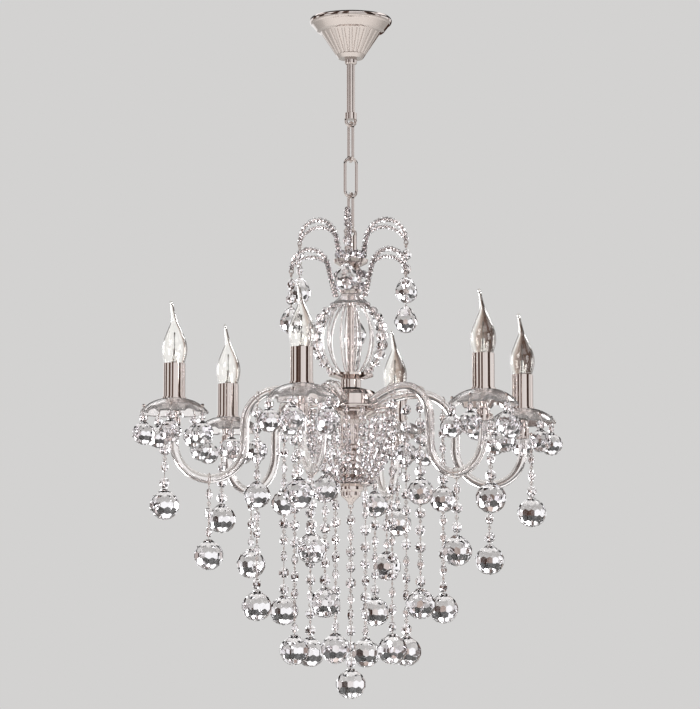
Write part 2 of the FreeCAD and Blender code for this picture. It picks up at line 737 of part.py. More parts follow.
def frond(name, root, height, lean, rise, bend, fall):
    """A frond of bent wire: an outer and an inner band that part over the bend, with an eye at the end."""
    slope = Size(math.degrees(math.atan2(rise.value, lean.value)), f"atan({rise.formula} / {lean.formula})")
    turn_x, turn_z = root + lean, height + rise
    peak_x = turn_x + bend * slant_sin(slope)
    peak_z = turn_z + bend * (1 - slant_cos(slope))
    end_x, end_z = peak_x + fall, peak_z - fall
    outer = bent(name + "_outer", [
        (root, height), (turn_x, turn_z, bend, 1), (peak_x, peak_z, fall, 1), (end_x, end_z),
    ], d.frond_rad)
    arc, _ = arc_between(Vector(turn_x.value, turn_z.value, 0), Vector(end_x.value, end_z.value, 0),
                         mm("frond_inner"), 1)
    path = Part.Wire([arc.toShape()])
    path.rotate(Vector(), Vector(1, 0, 0), 90)
    edge = path.Edges[0]
    start, ahead = edge.valueAt(edge.FirstParameter), edge.tangentAt(edge.FirstParameter)
    section = Part.Wire([Part.makeCircle(mm("frond_rad") * 0.8, start, ahead)])
    inner = DOC.addObject("Part::Feature", name + "_inner")
    inner.Shape = path.makePipeShell([section], True, False)
    eye = torus(name + "_eye", d.eye_rad, d.eye_wire)
    place(eye, x=end_x, z=end_z - d.eye_rad, turn=90, axis=Vector(1, 0, 0))
    whole = joined(name, [outer, inner, eye])
    return whole, end_x, end_z - 2 * d.eye_rad


def cage():
    """Bowed glass rods between bell and hub, with six garlands of beads outside them."""
    top, foot = d.bell_top - d.bell_rim, d.hub_top
    long_rod = bent("cage_rod_bent", [(d.cage_top_rad, top, d.cage_bow, 1), (d.cage_foot_rad, foot - 1)],
                    d.cage_rod_rad)
    below = place(primitive("Cylinder", "under_cage", Radius=d.flange_rad, Height=5), z=foot - 5)
    rod = cut("cage_rod", long_rod, below)
    garland = crystal("garland", [bead_bow(
        (mm("swag_top_rad"), top.value), (mm("swag_foot_rad"), foot.value), mm("swag_bow"), 7,
        mm("swag_bead"), 1.6, 5,
    )])
    return group("crown_cage", around(rod, "rod", CAGE_RODS) + around(garland, "garland", ARMS, 15))


# ---------------------------------------------------------------- hub, finial and basket

def arm_hub(arm_end):
    """The turned hub that holds the six arms, and the wire ring that holds the basket."""
    bore, top = d.stem_rad + d.seat, d.hub_top
    body = turned("hub_body", [
        (bore, top), (d.flange_rad, top), (d.flange_rad, top - 3), (d.neck_rad, top - 8), (d.neck_rad, d.drum_top + 5),
        (d.drum_rad - 6, d.drum_top), (d.drum_rad, d.drum_top - 6), (d.drum_rad, d.drum_foot + 6),
        (d.drum_rad - 8, d.drum_foot), (d.column_rad + 4, d.drum_foot - 4), (d.column_rad, d.drum_foot - 10),
        (d.column_rad, d.hub_foot + 8), (d.column_rad + 3, d.hub_foot + 5), (d.column_rad + 3, d.hub_foot + 2),
        (d.column_rad, d.hub_foot), (bore, d.hub_foot),
    ])
    sockets = group("arm_sockets", around(arm_end, "socket", ARMS))
    spokes = []
    for number in range(ARMS):
        spoke = primitive("Cylinder", f"spoke_{number + 1}", Radius=d.basket_wire * 0.8,
                          Height=d.basket_rad - d.drum_rad)
        upright = place(spoke, x=d.drum_rad, z=d.basket_top, turn=90, axis=Vector(0, 1, 0))
        spokes.append(copy_of(upright, f"spoke_turned_{number + 1}", turn=STEP * (number + 0.5)))
    ring = place(torus("basket_ring", d.basket_rad, d.basket_wire), z=d.basket_top)
    return group("arm_hub_straight", [cut("hub_drilled", body, sockets), joined("basket_frame", [ring] + spokes)])


def basket_chain():
    """One bead chain of the basket, from its ring in to the finial's tray."""
    top = mm("basket_top") - mm("basket_wire")
    return crystal("basket_chain", [bead_bow(
        (mm("basket_rad"), top), (mm("basket_foot_rad"), mm("tray_top")), mm("basket_bow"), 7,
        mm("basket_bead"), 1.4, 4,
    )])


def finial_bowl():
    """The bright bowl, tray and stepped finial that close the body, with an eye for the last string."""
    bore, top, tray = d.stem_rad + d.seat, d.bowl_top, d.tray_top
    turning = turned("finial_turned", [
        (bore, top), (d.bowl_rad - 5, top), (d.bowl_rad, top - 5, d.bowl_rad * 0.8, 1), (d.bowl_rad, top - 13),
        (11, top - 20), (11, tray), (d.tray_rad, tray), (d.tray_rad + 1, tray - 2), (d.finial_rad, tray - 5),
        (d.finial_rad, tray - 9), (d.finial_rad - 4, tray - 12), (d.finial_rad - 4, tray - 17),
        (d.finial_rad - 8, tray - 20), (5, d.finial_foot + 4), (3, d.finial_foot), (0, d.finial_foot),
        (0, d.stem_foot), (bore, d.stem_foot),
    ])
    eye = torus("finial_eye", d.eye_rad, d.eye_wire)
    place(eye, z=d.finial_foot - d.eye_rad + d.eye_wire, turn=90, axis=Vector(1, 0, 0))
    return joined("finial_bowl", [turning, eye])


# ---------------------------------------------------------------- arms and candles

def arm_route():
    """The line of an arm, from its outer end down, up its inner leg and over to the hub."""
    low = (d.candle_ring - d.inner_leg) / 2
    peak_x, peak_z = d.inner_leg - d.shoulder_bend, d.shoulder + d.shoulder_bend
    across, down = peak_x - d.arm_root_rad, peak_z - d.arm_root
    last = (across * across + down * down) / (2 * down)
    return [
        (d.candle_ring, d.arm_top), (d.candle_ring, d.leg_foot, low, 1),
        (d.candle_ring - low, d.leg_foot - low, low, 1), (d.inner_leg, d.leg_foot),
        (d.inner_leg, d.shoulder, d.shoulder_bend, -1), (peak_x, peak_z, last, -1),
        (d.arm_root_rad, d.arm_root),
    ]


def ferrule():
    """The metal ferrule on an arm's end, with the spigot, the pan and the peg, on the candle's axis."""
    top, foot = d.arm_top, d.arm_top - d.ferrule_deep
    pan = d.pan_top - d.pan_thick
    body = turned("ferrule_turned", [
        (0, top), (d.arm_rad + d.seat, top), (d.arm_rad + d.seat, foot), (d.ferrule_rad, foot),
        (d.ferrule_rad, top + 1), (d.ferrule_rad - 1, top + 2), (d.spigot_rad, top + 2), (d.spigot_rad, pan),
        (d.pan_rad, pan), (d.pan_rad, d.pan_top), (0, d.pan_top),
    ])
    peg = primitive("Cylinder", "peg", Radius=d.peg_rad, Height=d.peg_long + 1)
    place(peg, x=d.ferrule_rad - 1, z=(top + foot) / 2, turn=90, axis=Vector(0, 1, 0))
    return joined("ferrule", [body, peg])


def candle_sleeve():
    """The polished sleeve round a lamp holder."""
    inner = d.sleeve_rad - d.sleeve_wall
    return turned("sleeve", [
        (inner, d.pan_top), (d.sleeve_rad, d.pan_top), (d.sleeve_rad, d.sleeve_top), (inner, d.sleeve_top),
    ])


def lamp_holder():
    """The lamp holder inside the sleeve: a thick tube with a closed foot."""
    top, bore = d.pan_top + d.holder_long, d.base_rad + d.run
    floor = d.sleeve_top - d.base_long - 3
    return turned("holder", [
        (0, d.pan_top), (d.holder_rad, d.pan_top), (d.holder_rad, top), (bore, top), (bore, floor), (0, floor),
    ])


def bulb():
    """A flame-shaped bulb with a screw base and a tip that leans to one side."""
    seat = d.sleeve_top - 3
    floor = seat - d.base_long
    neck, belly, top = d.sleeve_top, d.sleeve_top + d.bulb_belly, d.sleeve_top + d.bulb_long
    glass = turned("bulb_glass", [
        (0, floor), (d.base_rad - 3, floor), (d.base_rad, floor + 3), (d.base_rad, seat), (10.5, neck, 30, -1),
        (d.bulb_rad, belly, 95, -1), (9, belly + 34, 60, 1), (2.6, top), (0, top),
    ])
    rings = []
    for share in (0, 0.4, 0.8, 1):
        radius = 2.6 - 1.7 * share
        spot = Vector(mm("tip_lean") * share ** 1.5, 0, top.value - 1 + (mm("tip_long") + 1) * share)
        ahead = Vector(mm("tip_lean") * 1.5 * share ** 0.5, 0, mm("tip_long") + 1)
        rings.append(Part.Wire([Part.makeCircle(radius, spot, ahead)]))
    tip = DOC.addObject("Part::Feature", "bulb_tip")
    tip.Shape = Part.makeLoft(rings, True)
    return joined("bulb", [glass, tip])


def bobeche():
    """The glass dish: five drooping petals, a funnel underneath, and a hole in each petal for its drop."""
    bore, top = d.spigot_rad + d.run, d.pan_top - d.pan_thick - d.run
    foot = d.arm_top + 2 + d.run
    low, under = top - d.dish_droop, top - d.dish_thick
    body = turned("bobeche", [
        (bore, top), (d.dish_flat, top, d.dish_curve, 1), (d.dish_rad, low), (d.dish_rad - 1, low - 2.5),
        (d.dish_rad - 3, low - 2, d.dish_curve - d.dish_thick, -1), (d.dish_flat + 1, under - 1.5, 24, -1),
        (d.funnel_foot, foot), (bore, foot),
    ])
    holes = sketch_on(body, "petal_cuts", "XY_Plane")
    add_circle(holes, -d.notch_ring, 0, d.notch_rad)
    add_circle(holes, d.hook_ring, 0, d.hook_hole)
    DOC.recompute()
    cuts = body.newObject("PartDesign::Pocket", "petal_pocket")
    cuts.Profile = (holes, [""])
    cuts.Type = "ThroughAll"
    DOC.recompute()
    petals = body.newObject("PartDesign::PolarPattern", "petals")
    petals.Originals = [cuts]
    petals.Axis = (holes, ["N_Axis"])
    petals.Angle = 360
    petals.Occurrences = PETALS
    body.Tip = petals
    return body


def dish_top(radius):
    """The height of the dish's upper face at a distance from its axis."""
    top = mm("pan_top") - mm("pan_thick") - mm("run")
    a, b = Vector(mm("dish_flat"), top, 0), Vector(mm("dish_rad"), top - mm("dish_droop"), 0)
    arc, _ = arc_between(a, b, mm("dish_curve"), 1)
    return arc.Center.y + math.sqrt(mm("dish_curve") ** 2 - (radius - arc.Center.x) ** 2)


def dish_drop():
    """A faceted ball under a small bead, on a head pin through the petal's hole."""
    head, wire, bead = mm("pin_head"), mm("pin_rad"), mm("small_bead")
    seat = dish_top(mm("hook_ring") - head)
    middle = dish_top(mm("hook_ring")) - mm("drop_fall")
    foot = middle + ball_end(mm("drop_rad"))
    pin = flat_faced([
        level(seat + wire, head, head), level(seat, head, head), level(seat, wire, wire),
        level(foot + 2 * bead, wire, wire), level(foot + bead, bead, bead), level(foot, wire, wire),
    ])
    return crystal("dish_drop", [pin, ball(middle, mm("drop_rad"))], mm("hook_ring"))


# ---------------------------------------------------------------- assembly

def at_arm(pattern, name, number):
    """A candle piece, made on its own axis, at the end of arm number."""
    turn = d.arm_turn + STEP * number
    return copy_of(pattern, name, x=d.candle_ring * slant_cos(turn), y=d.candle_ring * slant_sin(turn), turn=turn)


def at_every_arm(pattern, name):
    """A candle piece at the end of each arm, as one group."""
    return group(name, [at_arm(pattern, f"{name}_at_{number + 1}", number) for number in range(ARMS)])


def string_pairs(pattern, name):
    """Strings of one circle, in pairs that hang opposite each other on one line."""
    pairs = []
    for number in range(ARMS // 2):
        ends = [copy_of(pattern, f"{name}_{number + 1}_end_{side + 1}", turn=180 * side) for side in (0, 1)]
        both = group(f"{name}_{number + 1}_both", ends)
        pairs.append(copy_of(both, f"{name}_{number + 1}", turn=d.arm_turn + STEP * number))
    return pairs


def arm_hook(radius):
    """The height of an arm's centre line at a radius, and the wire ring that goes round the arm there."""
    peak = mm("inner_leg") - mm("shoulder_bend")
    if radius > mm("inner_leg"):
        low = (mm("candle_ring") - mm("inner_leg")) / 2
        height, level_share = mm("leg_foot") - low, 1.0
    else:
        last = arm_route()[-2][2].value
        bend = mm("shoulder_bend") if radius > peak else last
        rise = math.sqrt(bend ** 2 - (radius - peak) ** 2)
        height, level_share = mm("shoulder") + mm("shoulder_bend") - bend + rise, rise / bend
    ring = (mm("arm_rad") + mm("pin_rad")) / level_share + mm("run") + mm("pin_rad")
    return height, ring


def eye_hang(wire_height, ring_rad):
    """The height of a wire ring that hangs in an eye whose lower wire is at wire_height."""
    return wire_height + mm("eye_wire") + mm("pin_rad") + mm("run") - ring_rad


def strings():
    """The crystal strings: four circles of pairs and the one in the middle."""
    peg_ring = mm("peg_rad") + mm("run") + mm("pin_rad")
    peg_height = mm("arm_top") - mm("ferrule_deep") / 2
    bend_ring = (mm("candle_ring") + mm("inner_leg")) / 2
    circles = [
        ("outer_strings", mm("outer_ring"), peg_height, peg_ring, mm("outer_ball"), None),
        ("bend_strings", bend_ring, *arm_hook(bend_ring), mm("bend_ball"), None),
        ("inner_strings", mm("inner_ring"), *arm_hook(mm("inner_ring")), mm("inner_ball"), mm("inner_middle")),
        ("core_strings", mm("core_ring"), *arm_hook(mm("core_ring")), mm("core_ball"), None),
    ]
    pieces = []
    for name, radius, hang, ring, foot, middle in circles:
        print(f"{name}: hook at radius {radius:.2f}, height {hang:.3f}")
        pieces += string_pairs(string(name + "_pattern", radius, hang, ring, foot, middle), name)
    ring = mm("eye_rad")
    lower_wire = mm("finial_foot") - 2 * ring + mm("eye_wire")
    print(f"centre_string: hook height {lower_wire:.3f}")
    pieces.append(string("centre_string", 0, eye_hang(lower_wire, ring), ring, mm("centre_ball")))
    return pieces


def crown_drops(upper_eye, lower_eye, crown_turn):
    """Pairs of crown drops: one on an upper frond and one on the lower frond opposite."""
    ring = mm("eye_rad")
    drops = []
    for name, (x, height), foot in (("upper_drop", upper_eye, "upper_drop"), ("lower_drop", lower_eye, "lower_drop")):
        hang = eye_hang(height.value, ring)
        print(f"{name}: hook at radius {x.value:.3f}, height {height.value:.3f}")
        run = bead_run(hang - ring, mm(foot) + ball_end(mm("crown_ball_rad"))).fuse(hanger(hang, ring))
        drops.append(crystal(name + "_pattern", [run, ball(mm(foot), mm("crown_ball_rad"))], x.value))
    both = group("crown_drop_pair", [drops[0], copy_of(drops[1], "lower_drop_opposite", turn=180)])
    return [copy_of(both, f"crown_drops_{k + 1}", turn=crown_turn + 120 * k) for k in range(3)]


def arm_socket(route):
    """The straight tool that drills the hub for an arm's inner end."""
    across, last = route[-2][0] - d.arm_root_rad, route[-2][2]
    slope = Size(math.degrees(math.asin(across.value / last.value)), f"asin({across.formula} / {last.formula})")
    tool = primitive("Cylinder", "arm_socket", Radius=d.arm_rad + 2 * d.seat, Height=16)
    return place(tool, x=d.arm_root_rad, z=d.arm_root, turn=Size(90, "90 deg") - slope, axis=Vector(0, 1, 0))


def build():
    """All pieces, as the objects whose names are the nodes' names."""
    pieces = [ceiling_plate(), terminal_block(), canopy(), canopy_collar(), down_rod()]
    pieces += [chain_link(number) for number in (1, 2, 3)]
    pieces += [top_loop(), stem_tube(), crown_cup(), crown_bell()]

    upper, *upper_eye = frond("upper_frond", d.upper_root, d.cup_top, d.upper_lean, d.upper_rise,
                              d.upper_bend, d.upper_fall)
    lower, *lower_eye = frond("lower_frond", d.lower_root, d.bell_top, d.lower_lean, d.lower_rise,
                              d.lower_bend, d.lower_fall)
    crown_turn = d.arm_turn + 11
    fronds = [copy_of(upper, f"upper_frond_{k + 1}", turn=crown_turn + 120 * k) for k in range(3)]
    fronds += [copy_of(lower, f"lower_frond_{k + 1}", turn=crown_turn + 120 * k + 180) for k in range(3)]
    pieces += [group("crown_fronds", fronds), cage()]

    route = arm_route()
    arm = bent("arm", route, d.arm_rad)
    hub = arm_hub(arm_socket(route))
    chains = group("basket_chains", around(basket_chain(), "chain", BASKET_CHAINS, STEP / 4))
    pieces += [
        copy_of(hub, "arm_hub", turn=d.arm_turn), copy_of(chains, "bead_basket", turn=d.arm_turn), finial_bowl(),
        at_every_arm(ferrule(), "arm_ferrules"), at_every_arm(candle_sleeve(), "candle_sleeves"),
        at_every_arm(lamp_holder(), "lamp_holders"),
    ]
    dish, drops, lamp = bobeche(), group("dish_drops", around(dish_drop(), "dish_drop", PETALS)), bulb()
    for number in range(ARMS):
        pieces += [
            copy_of(arm, f"arm_{number + 1}", turn=d.arm_turn + STEP * number),
            at_arm(dish, f"bobeche_{number + 1}", number),
            at_arm(drops, f"bobeche_drops_{number + 1}", number),
            at_arm(lamp, f"bulb_{number + 1}", number),
        ]
    pieces += strings()
    pieces += crown_drops(upper_eye, lower_eye, crown_turn)
    DOC.recompute()
    return pieces


def check(pieces):
    """Stop at any object that failed, and at any piece that isn't a sound solid."""
    for thing in DOC.Objects:
        if {"Invalid", "Error"} & set(thing.State):
            raise RuntimeError(f"{thing.Label} failed: {thing.State}")
    for piece in pieces:
        if piece.Shape.isNull() or not piece.Shape.isValid() or not piece.Shape.Solids:
            raise RuntimeError(f"{piece.Label} has no sound solid")


def export(pieces):
    """Write one file for each piece."""
    os.makedirs("parts", exist_ok=True)
    for piece in pieces:
        piece.Shape.exportStep(f"parts/{piece.Label}.step")
        print(f"{piece.Label}: {len(piece.Shape.Solids)} solids, {piece.Shape.Volume / 1000:.2f} cm3")


PIECES = build()
check(PIECES)
export(PIECES)
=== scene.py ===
# Looks of a crystal chandelier: cut crystals, blown glass, polished metal, and the studio round it.
# Metres, Z up. The origin lies in the ceiling's surface, on the axis that everything hangs on.

import math
import random

import bmesh
import bpy
from bpy.props import FloatProperty, FloatVectorProperty, IntProperty, PointerProperty
from mathutils import Matrix, Vector


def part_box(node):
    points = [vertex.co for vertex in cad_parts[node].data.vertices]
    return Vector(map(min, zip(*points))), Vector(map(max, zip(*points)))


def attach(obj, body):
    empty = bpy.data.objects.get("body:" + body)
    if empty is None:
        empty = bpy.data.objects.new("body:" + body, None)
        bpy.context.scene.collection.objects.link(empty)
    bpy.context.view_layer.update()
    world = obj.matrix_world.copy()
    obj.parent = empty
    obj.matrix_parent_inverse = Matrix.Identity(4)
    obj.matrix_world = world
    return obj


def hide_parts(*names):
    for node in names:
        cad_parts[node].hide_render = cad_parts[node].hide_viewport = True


bl_info = {
    "name": "Crystal chandelier",
    "version": (1, 0, 0),
    "blender": (4, 5, 0),
    "location": "3D View > Sidebar > Chandelier",
    "description": "Crystals, glass, metal and studio of a six-arm crystal chandelier",
    "category": "Add Mesh",
}

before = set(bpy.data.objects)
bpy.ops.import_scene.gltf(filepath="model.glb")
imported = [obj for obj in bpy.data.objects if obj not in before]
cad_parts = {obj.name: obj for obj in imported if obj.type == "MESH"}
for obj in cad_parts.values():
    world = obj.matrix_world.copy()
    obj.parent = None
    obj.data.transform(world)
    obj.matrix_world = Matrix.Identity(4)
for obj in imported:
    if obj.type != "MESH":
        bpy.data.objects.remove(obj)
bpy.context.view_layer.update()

MM = 0.001
ARMS = 6
ARM_TURN = math.radians(15)
PETALS = 5
# Distance of the candles from the axis, in mm.
CANDLE_RING = 248

# Hook radius, hook height, radius of the hook's wire ring, and (height, radius) of each ball, in mm.
STRINGS = {
    "outer": (260.5, -576.0, 2.2, [(-686, 20)]),
    "bend": (199.0, -649.0, 7.95, [(-753, 20)]),
    "inner": (132.0, -536.581, 9.0, [(-670, 18), (-821, 20)]),
    "core": (79.0, -526.894, 8.4, [(-880, 20)]),
}
# Height of the centre string's hook, and (height, radius) of its ball, in mm.
CENTRE_HOOK = -686.2
CENTRE_BALL = (-925, 20)
# Radius of the ball and the pear as they are cut, before each spot sizes its own, in mm.
UNIT_BALL = 20
# Radius of the fronds' eyes and of the wire rings that hang in them and at the centre, in mm.
SMALL_RING = 3
CROWN_TURN = math.radians(26)
FRONDS = {
    # root radius, root height, lean, rise, radius of the rising bend, radius of the falling bend
    "upper": (15, -343, 9, 37, 35, 28),
    "lower": (20.5, -394, 15, 46, 26.21, 30.19),
}
FROND_TURNS = {"upper": 0, "lower": math.pi}
# Bend of a frond's inner band, gap from its eye down to the crystal's ring, and heights of the pears, in mm.
INNER_BAND_BEND = 37
HOOK_SAG = 1.1
PEAR_HEIGHTS = {"upper": -380, "lower": -434}
# Upper end, lower end and radius of the bow of a cage rod, a garland and a basket chain, in mm.
CAGE_ROD = ((17, -402), (17, -500), 61.5)
GARLAND = ((21.3, -403), (27, -500), 56)
BASKET_CHAIN = ((62, -549.8), (25, -651), 150)
CAGE_RODS = 12
# Height, ring radius, number and radius of the beads in each row of the crown's column, in mm.
COLUMN_ROWS = [(-333, 17.5, 11, 5.2), (-361, 18, 11, 5.6), (-378, 18.5, 11, 5.8)]
# Height and radius along the outlines of the column's core and of its bell, in mm.
COLUMN_CORE = [(-352.2, 9), (-352.2, 13), (-355, 15), (-368, 14.2), (-371, 15.5), (-374, 14.2), (-385, 15),
               (-388, 14), (-391, 12)]
BELL = [(-387, 13.2), (-391, 15), (-395, 18.5), (-399, 22.8), (-402, 26), (-403.4, 25.4), (-399.6, 20.4),
        (-395, 16), (-391, 12.6), (-387, 11.6)]


# ---------------------------------------------------------------- sizes and colours

def length(name, note, millimetres):
    """A length that a user may change."""
    return FloatProperty(name=name, description=note, default=millimetres * MM, unit="LENGTH", precision=4)


def hue(name, note, code):
    """A colour that a user may change, from its sRGB hex value."""
    return FloatVectorProperty(name=name, description=note, subtype="COLOR", size=4, default=linear(code),
                               min=0, max=1)


def linear(code):
    """A linear colour from an sRGB hex value."""
    channels = [int(code[place:place + 2], 16) / 255 for place in (0, 2, 4)]
    return tuple(c / 12.92 if c <= 0.04045 else ((c + 0.055) / 1.055) ** 2.4 for c in channels) + (1.0,)


class CrystalSizes(bpy.types.PropertyGroup):
    """Sizes of the cut crystals and the wire that joins them."""
    bead_radius: length("Bead radius", "Half the width of an octagon bead", 7.3)
    bead_thick: length("Bead thickness", "Thickness of an octagon bead", 8.8)
    bead_pitch: length("Bead pitch", "Distance between two beads of a string", 22.5)
    wire_radius: length("Wire radius", "Radius of the wire between the crystals", 0.55)
    drop_ball: length("Dish ball radius", "Radius of the balls under the glass dishes", 15.5)
    drop_ring: length("Dish ring", "Distance of a drop's hole from its dish's axis", 42)
    drop_hang: length("Dish drop hang", "How far a dish's ball hangs below its bead's usual place", 3)
    crown_pear: length("Crown pear radius", "Radius of the pear-shaped stones on the fronds", 15.6)
    seed: IntProperty(name="Seed", description="Starts the random turn of each crystal on its wire",
                      default=7)


class BeadworkSizes(bpy.types.PropertyGroup):
    """Sizes of the fronds, garlands and basket."""
    frond_bead: length("Frond bead radius", "Radius of the beads on a frond", 3.7)
    garland_bead: length("Garland bead radius", "Radius of the beads of a garland", 8.3)
    basket_bead: length("Basket bead radius", "Radius of the beads of the basket", 5.4)
    basket_chains: IntProperty(name="Basket chains", description="Number of bead chains in the basket",
                               default=18)


class LampSizes(bpy.types.PropertyGroup):
    """Sizes of the candle bulbs."""
    glass_wall: length("Glass wall", "Wall of a bulb's glass", 0.8)
    filament: length("Filament radius", "Radius of the filament's coil, drawn thick enough to show", 0.35)


class StudioLook(bpy.types.PropertyGroup):
    """Colours and sizes of the studio."""
    backdrop: hue("Backdrop", "Colour behind the chandelier", "D3D2D1")
    floor: hue("Floor", "Colour of the floor", "EFEEEB")
    floor_drop: length("Floor drop", "Distance of the floor below the ceiling", 2400)
    lens: FloatProperty(name="Lens", description="Focal length of the camera", default=166.9,
                        subtype="DISTANCE_CAMERA")


# ---------------------------------------------------------------- nodes

def add_node(tree, kind, inputs=None, **settings):
    """Add a node. Inputs are values or output sockets, by the input's name or number."""
    node = tree.nodes.new(kind)
    for key, value in settings.items():
        setattr(node, key, value)
    for key, value in (inputs or {}).items():
        socket = node.inputs[key]
        if isinstance(value, bpy.types.NodeSocket):
            tree.links.new(value, socket)
        else:
            socket.default_value = value
    return node


def new_material(name, **surface):
    """A material, its tree, its shader and its coordinates. In an input's name _ stands for a space."""
    material = bpy.data.materials.new(name)
    material.use_nodes = True
    tree = material.node_tree
    shader = tree.nodes["Principled BSDF"]
    for key, value in surface.items():
        shader.inputs[key.replace("_", " ")].default_value = value
    return material, tree, shader, add_node(tree, "ShaderNodeTexCoord").outputs["Object"]


def ramp(tree, factor, stops):
    """A colour ramp through (position, colour) stops."""
    node = add_node(tree, "ShaderNodeValToRGB", {"Fac": factor})
    band = node.color_ramp
    band.elements[0].position, band.elements[1].position = stops[0][0], stops[-1][0]
    for position, _ in stops[1:-1]:
        band.elements.new(position)
    for element, (_, colour) in zip(band.elements, stops):
        element.color = colour
    return node.outputs["Color"]


def grey(value):
    """A grey of a linear value."""
    return (value, value, value, 1)


def bumped(tree, shader, height, distance, strength):
    """Give a shader a bump of a real height."""
    bump = add_node(tree, "ShaderNodeBump", {"Height": height, "Distance": distance, "Strength": strength})
    tree.links.new(bump.outputs["Normal"], shader.inputs["Normal"])


def roughened(tree, shader, texture, low, high):
    """Let a texture move a shader's roughness between two values."""
    rough = add_node(tree, "ShaderNodeMapRange", {
        "Value": texture.outputs["Fac"], "To Min": low, "To Max": high,
    })
    tree.links.new(rough.outputs["Result"], shader.inputs["Roughness"])


# ---------------------------------------------------------------- finishes

def chrome_plate():
    """Polished chrome plate: near mirror, with buffing haze 3 mm wide and slow waves 17 mm long."""
    material, tree, shader, place = new_material(
        "polished_chrome_plate", Base_Color=linear("DBD1CD"), Metallic=1.0, Roughness=0.08)
    haze = add_node(tree, "ShaderNodeTexNoise", {"Vector": place, "Scale": 330.0, "Detail": 3.0})
    roughened(tree, shader, haze, 0.04, 0.13)
    wave = add_node(tree, "ShaderNodeTexNoise", {"Vector": place, "Scale": 60.0, "Detail": 1.0})
    bumped(tree, shader, wave.outputs["Fac"], 0.00012, 0.35)
    return material


def zinc_plate():
    """Zinc-plated pressed steel: dull grey with crystals about 4 mm wide."""
    material, tree, shader, place = new_material(
        "zinc_plated_steel", Base_Color=linear("B4B4B1"), Metallic=1.0, Roughness=0.38)
    spangle = add_node(tree, "ShaderNodeTexVoronoi", {"Vector": place, "Scale": 250.0})
    tone = ramp(tree, spangle.outputs["Color"], [(0, linear("9E9E9B")), (1, linear("C2C2BF"))])
    tree.links.new(tone, shader.inputs["Base Color"])
    return material


def turned_brass():
    """Turned brass under lacquer: fine tool rings 1.6 mm apart."""
    material, tree, shader, place = new_material(
        "turned_brass", Base_Color=linear("C9A266"), Metallic=1.0, Roughness=0.22)
    rings = add_node(tree, "ShaderNodeTexWave", {"Vector": place, "Scale": 200.0}, bands_direction="Z")
    bumped(tree, shader, rings.outputs["Fac"], 0.00005, 0.4)
    return material


def white_ceramic():
    """Glazed lamp porcelain: off-white, with a faint cloud about 10 mm wide."""
    material, tree, shader, place = new_material("white_ceramic", Base_Color=linear("E6E2D8"), Roughness=0.3)
    cloud = add_node(tree, "ShaderNodeTexNoise", {"Vector": place, "Scale": 100.0, "Detail": 2.0})
    tone = ramp(tree, cloud.outputs["Fac"], [(0.3, linear("DDD8CC")), (0.7, linear("ECE9E1"))])
    tree.links.new(tone, shader.inputs["Base Color"])
    return material


def cut_crystal():
    """Machine-cut lead crystal: clear and hard-edged, with faint polishing ripple 5 mm wide."""
    material, tree, shader, place = new_material(
        "cut_lead_crystal", Base_Color=linear("FCFAFD"), Roughness=0.0, IOR=1.6, Transmission_Weight=1.0)
    ripple = add_node(tree, "ShaderNodeTexNoise", {"Vector": place, "Scale": 200.0, "Detail": 0.0})
    bumped(tree, shader, ripple.outputs["Fac"], 0.00008, 0.25)
    return material


def drawn_glass():
    """Drawn and pressed clear glass: fire-polished, a little milky, with slow waves about 15 mm long."""
    material, tree, shader, place = new_material(
        "clear_drawn_glass", Base_Color=linear("F6F2F1"), Roughness=0.05, IOR=1.5, Transmission_Weight=0.9)
    waves = add_node(tree, "ShaderNodeTexNoise", {"Vector": place, "Scale": 70.0, "Detail": 2.0})
    bumped(tree, shader, waves.outputs["Fac"], 0.0006, 0.3)
    return material


def lamp_glass():
    """Thin blown lamp glass: quite clear, with a slow sag about 25 mm long."""
    material, tree, shader, place = new_material(
        "blown_lamp_glass", Base_Color=linear("FBFAF8"), Roughness=0.0, IOR=1.47, Transmission_Weight=1.0)
    sag = add_node(tree, "ShaderNodeTexNoise", {"Vector": place, "Scale": 40.0, "Detail": 0.0})
    bumped(tree, shader, sag.outputs["Fac"], 0.0003, 0.2)
    return material


def tungsten():
    """Drawn tungsten and nickel wire: dark grey, with a grain of 1 mm, coarser than real so that it shows."""
    material, tree, shader, place = new_material(
        "tungsten_wire", Base_Color=linear("6E6A66"), Metallic=1.0, Roughness=0.35)
    grain = add_node(tree, "ShaderNodeTexNoise", {"Vector": place, "Scale": 900.0})
    roughened(tree, shader, grain, 0.25, 0.45)
    return material


FINISHES = {}


def finish(maker):
    """The material that a maker function gives, made once."""
    if maker not in FINISHES:
        FINISHES[maker] = maker()
    return FINISHES[maker]


def coat(node, maker):
    """Give a carried-over node its material."""
    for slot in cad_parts[node].material_slots:
        slot.material = finish(maker)


# ---------------------------------------------------------------- shapes

def around(turn):
    """A turn about the upright axis."""
    return Matrix.Rotation(turn, 4, "Z")


def arm_turn(number):
    """The azimuth of an arm."""
    return ARM_TURN + math.tau * number / ARMS


def candle_place(number):
    """From a candle's own axis to its place on an arm."""
    return around(arm_turn(number)) @ Matrix.Translation((CANDLE_RING * MM, 0, 0))


def ring_of(count, start):
    """Even turns about the upright axis, from a first azimuth."""
    return [around(start + math.tau * number / count) for number in range(count)]


def copies(line, places):
    """A line of points, put at each of some places."""
    return [[place @ point for point in line] for place in places]


def closed_mesh(shape, name, hollow=()):
    """A closed bmesh as a mesh. Its faces look outwards, and those of a hollow into it."""
    bmesh.ops.recalc_face_normals(shape, faces=shape.faces)
    bmesh.ops.reverse_faces(shape, faces=list(hollow))
    mesh = bpy.data.meshes.new(name)
    shape.to_mesh(mesh)
    shape.free()
    return mesh


def mesh_of(shape, name, maker, hollow=()):
    """A closed bmesh as a mesh with one material."""
    mesh = closed_mesh(shape, name, hollow)
    mesh.materials.append(finish(maker))
    return mesh


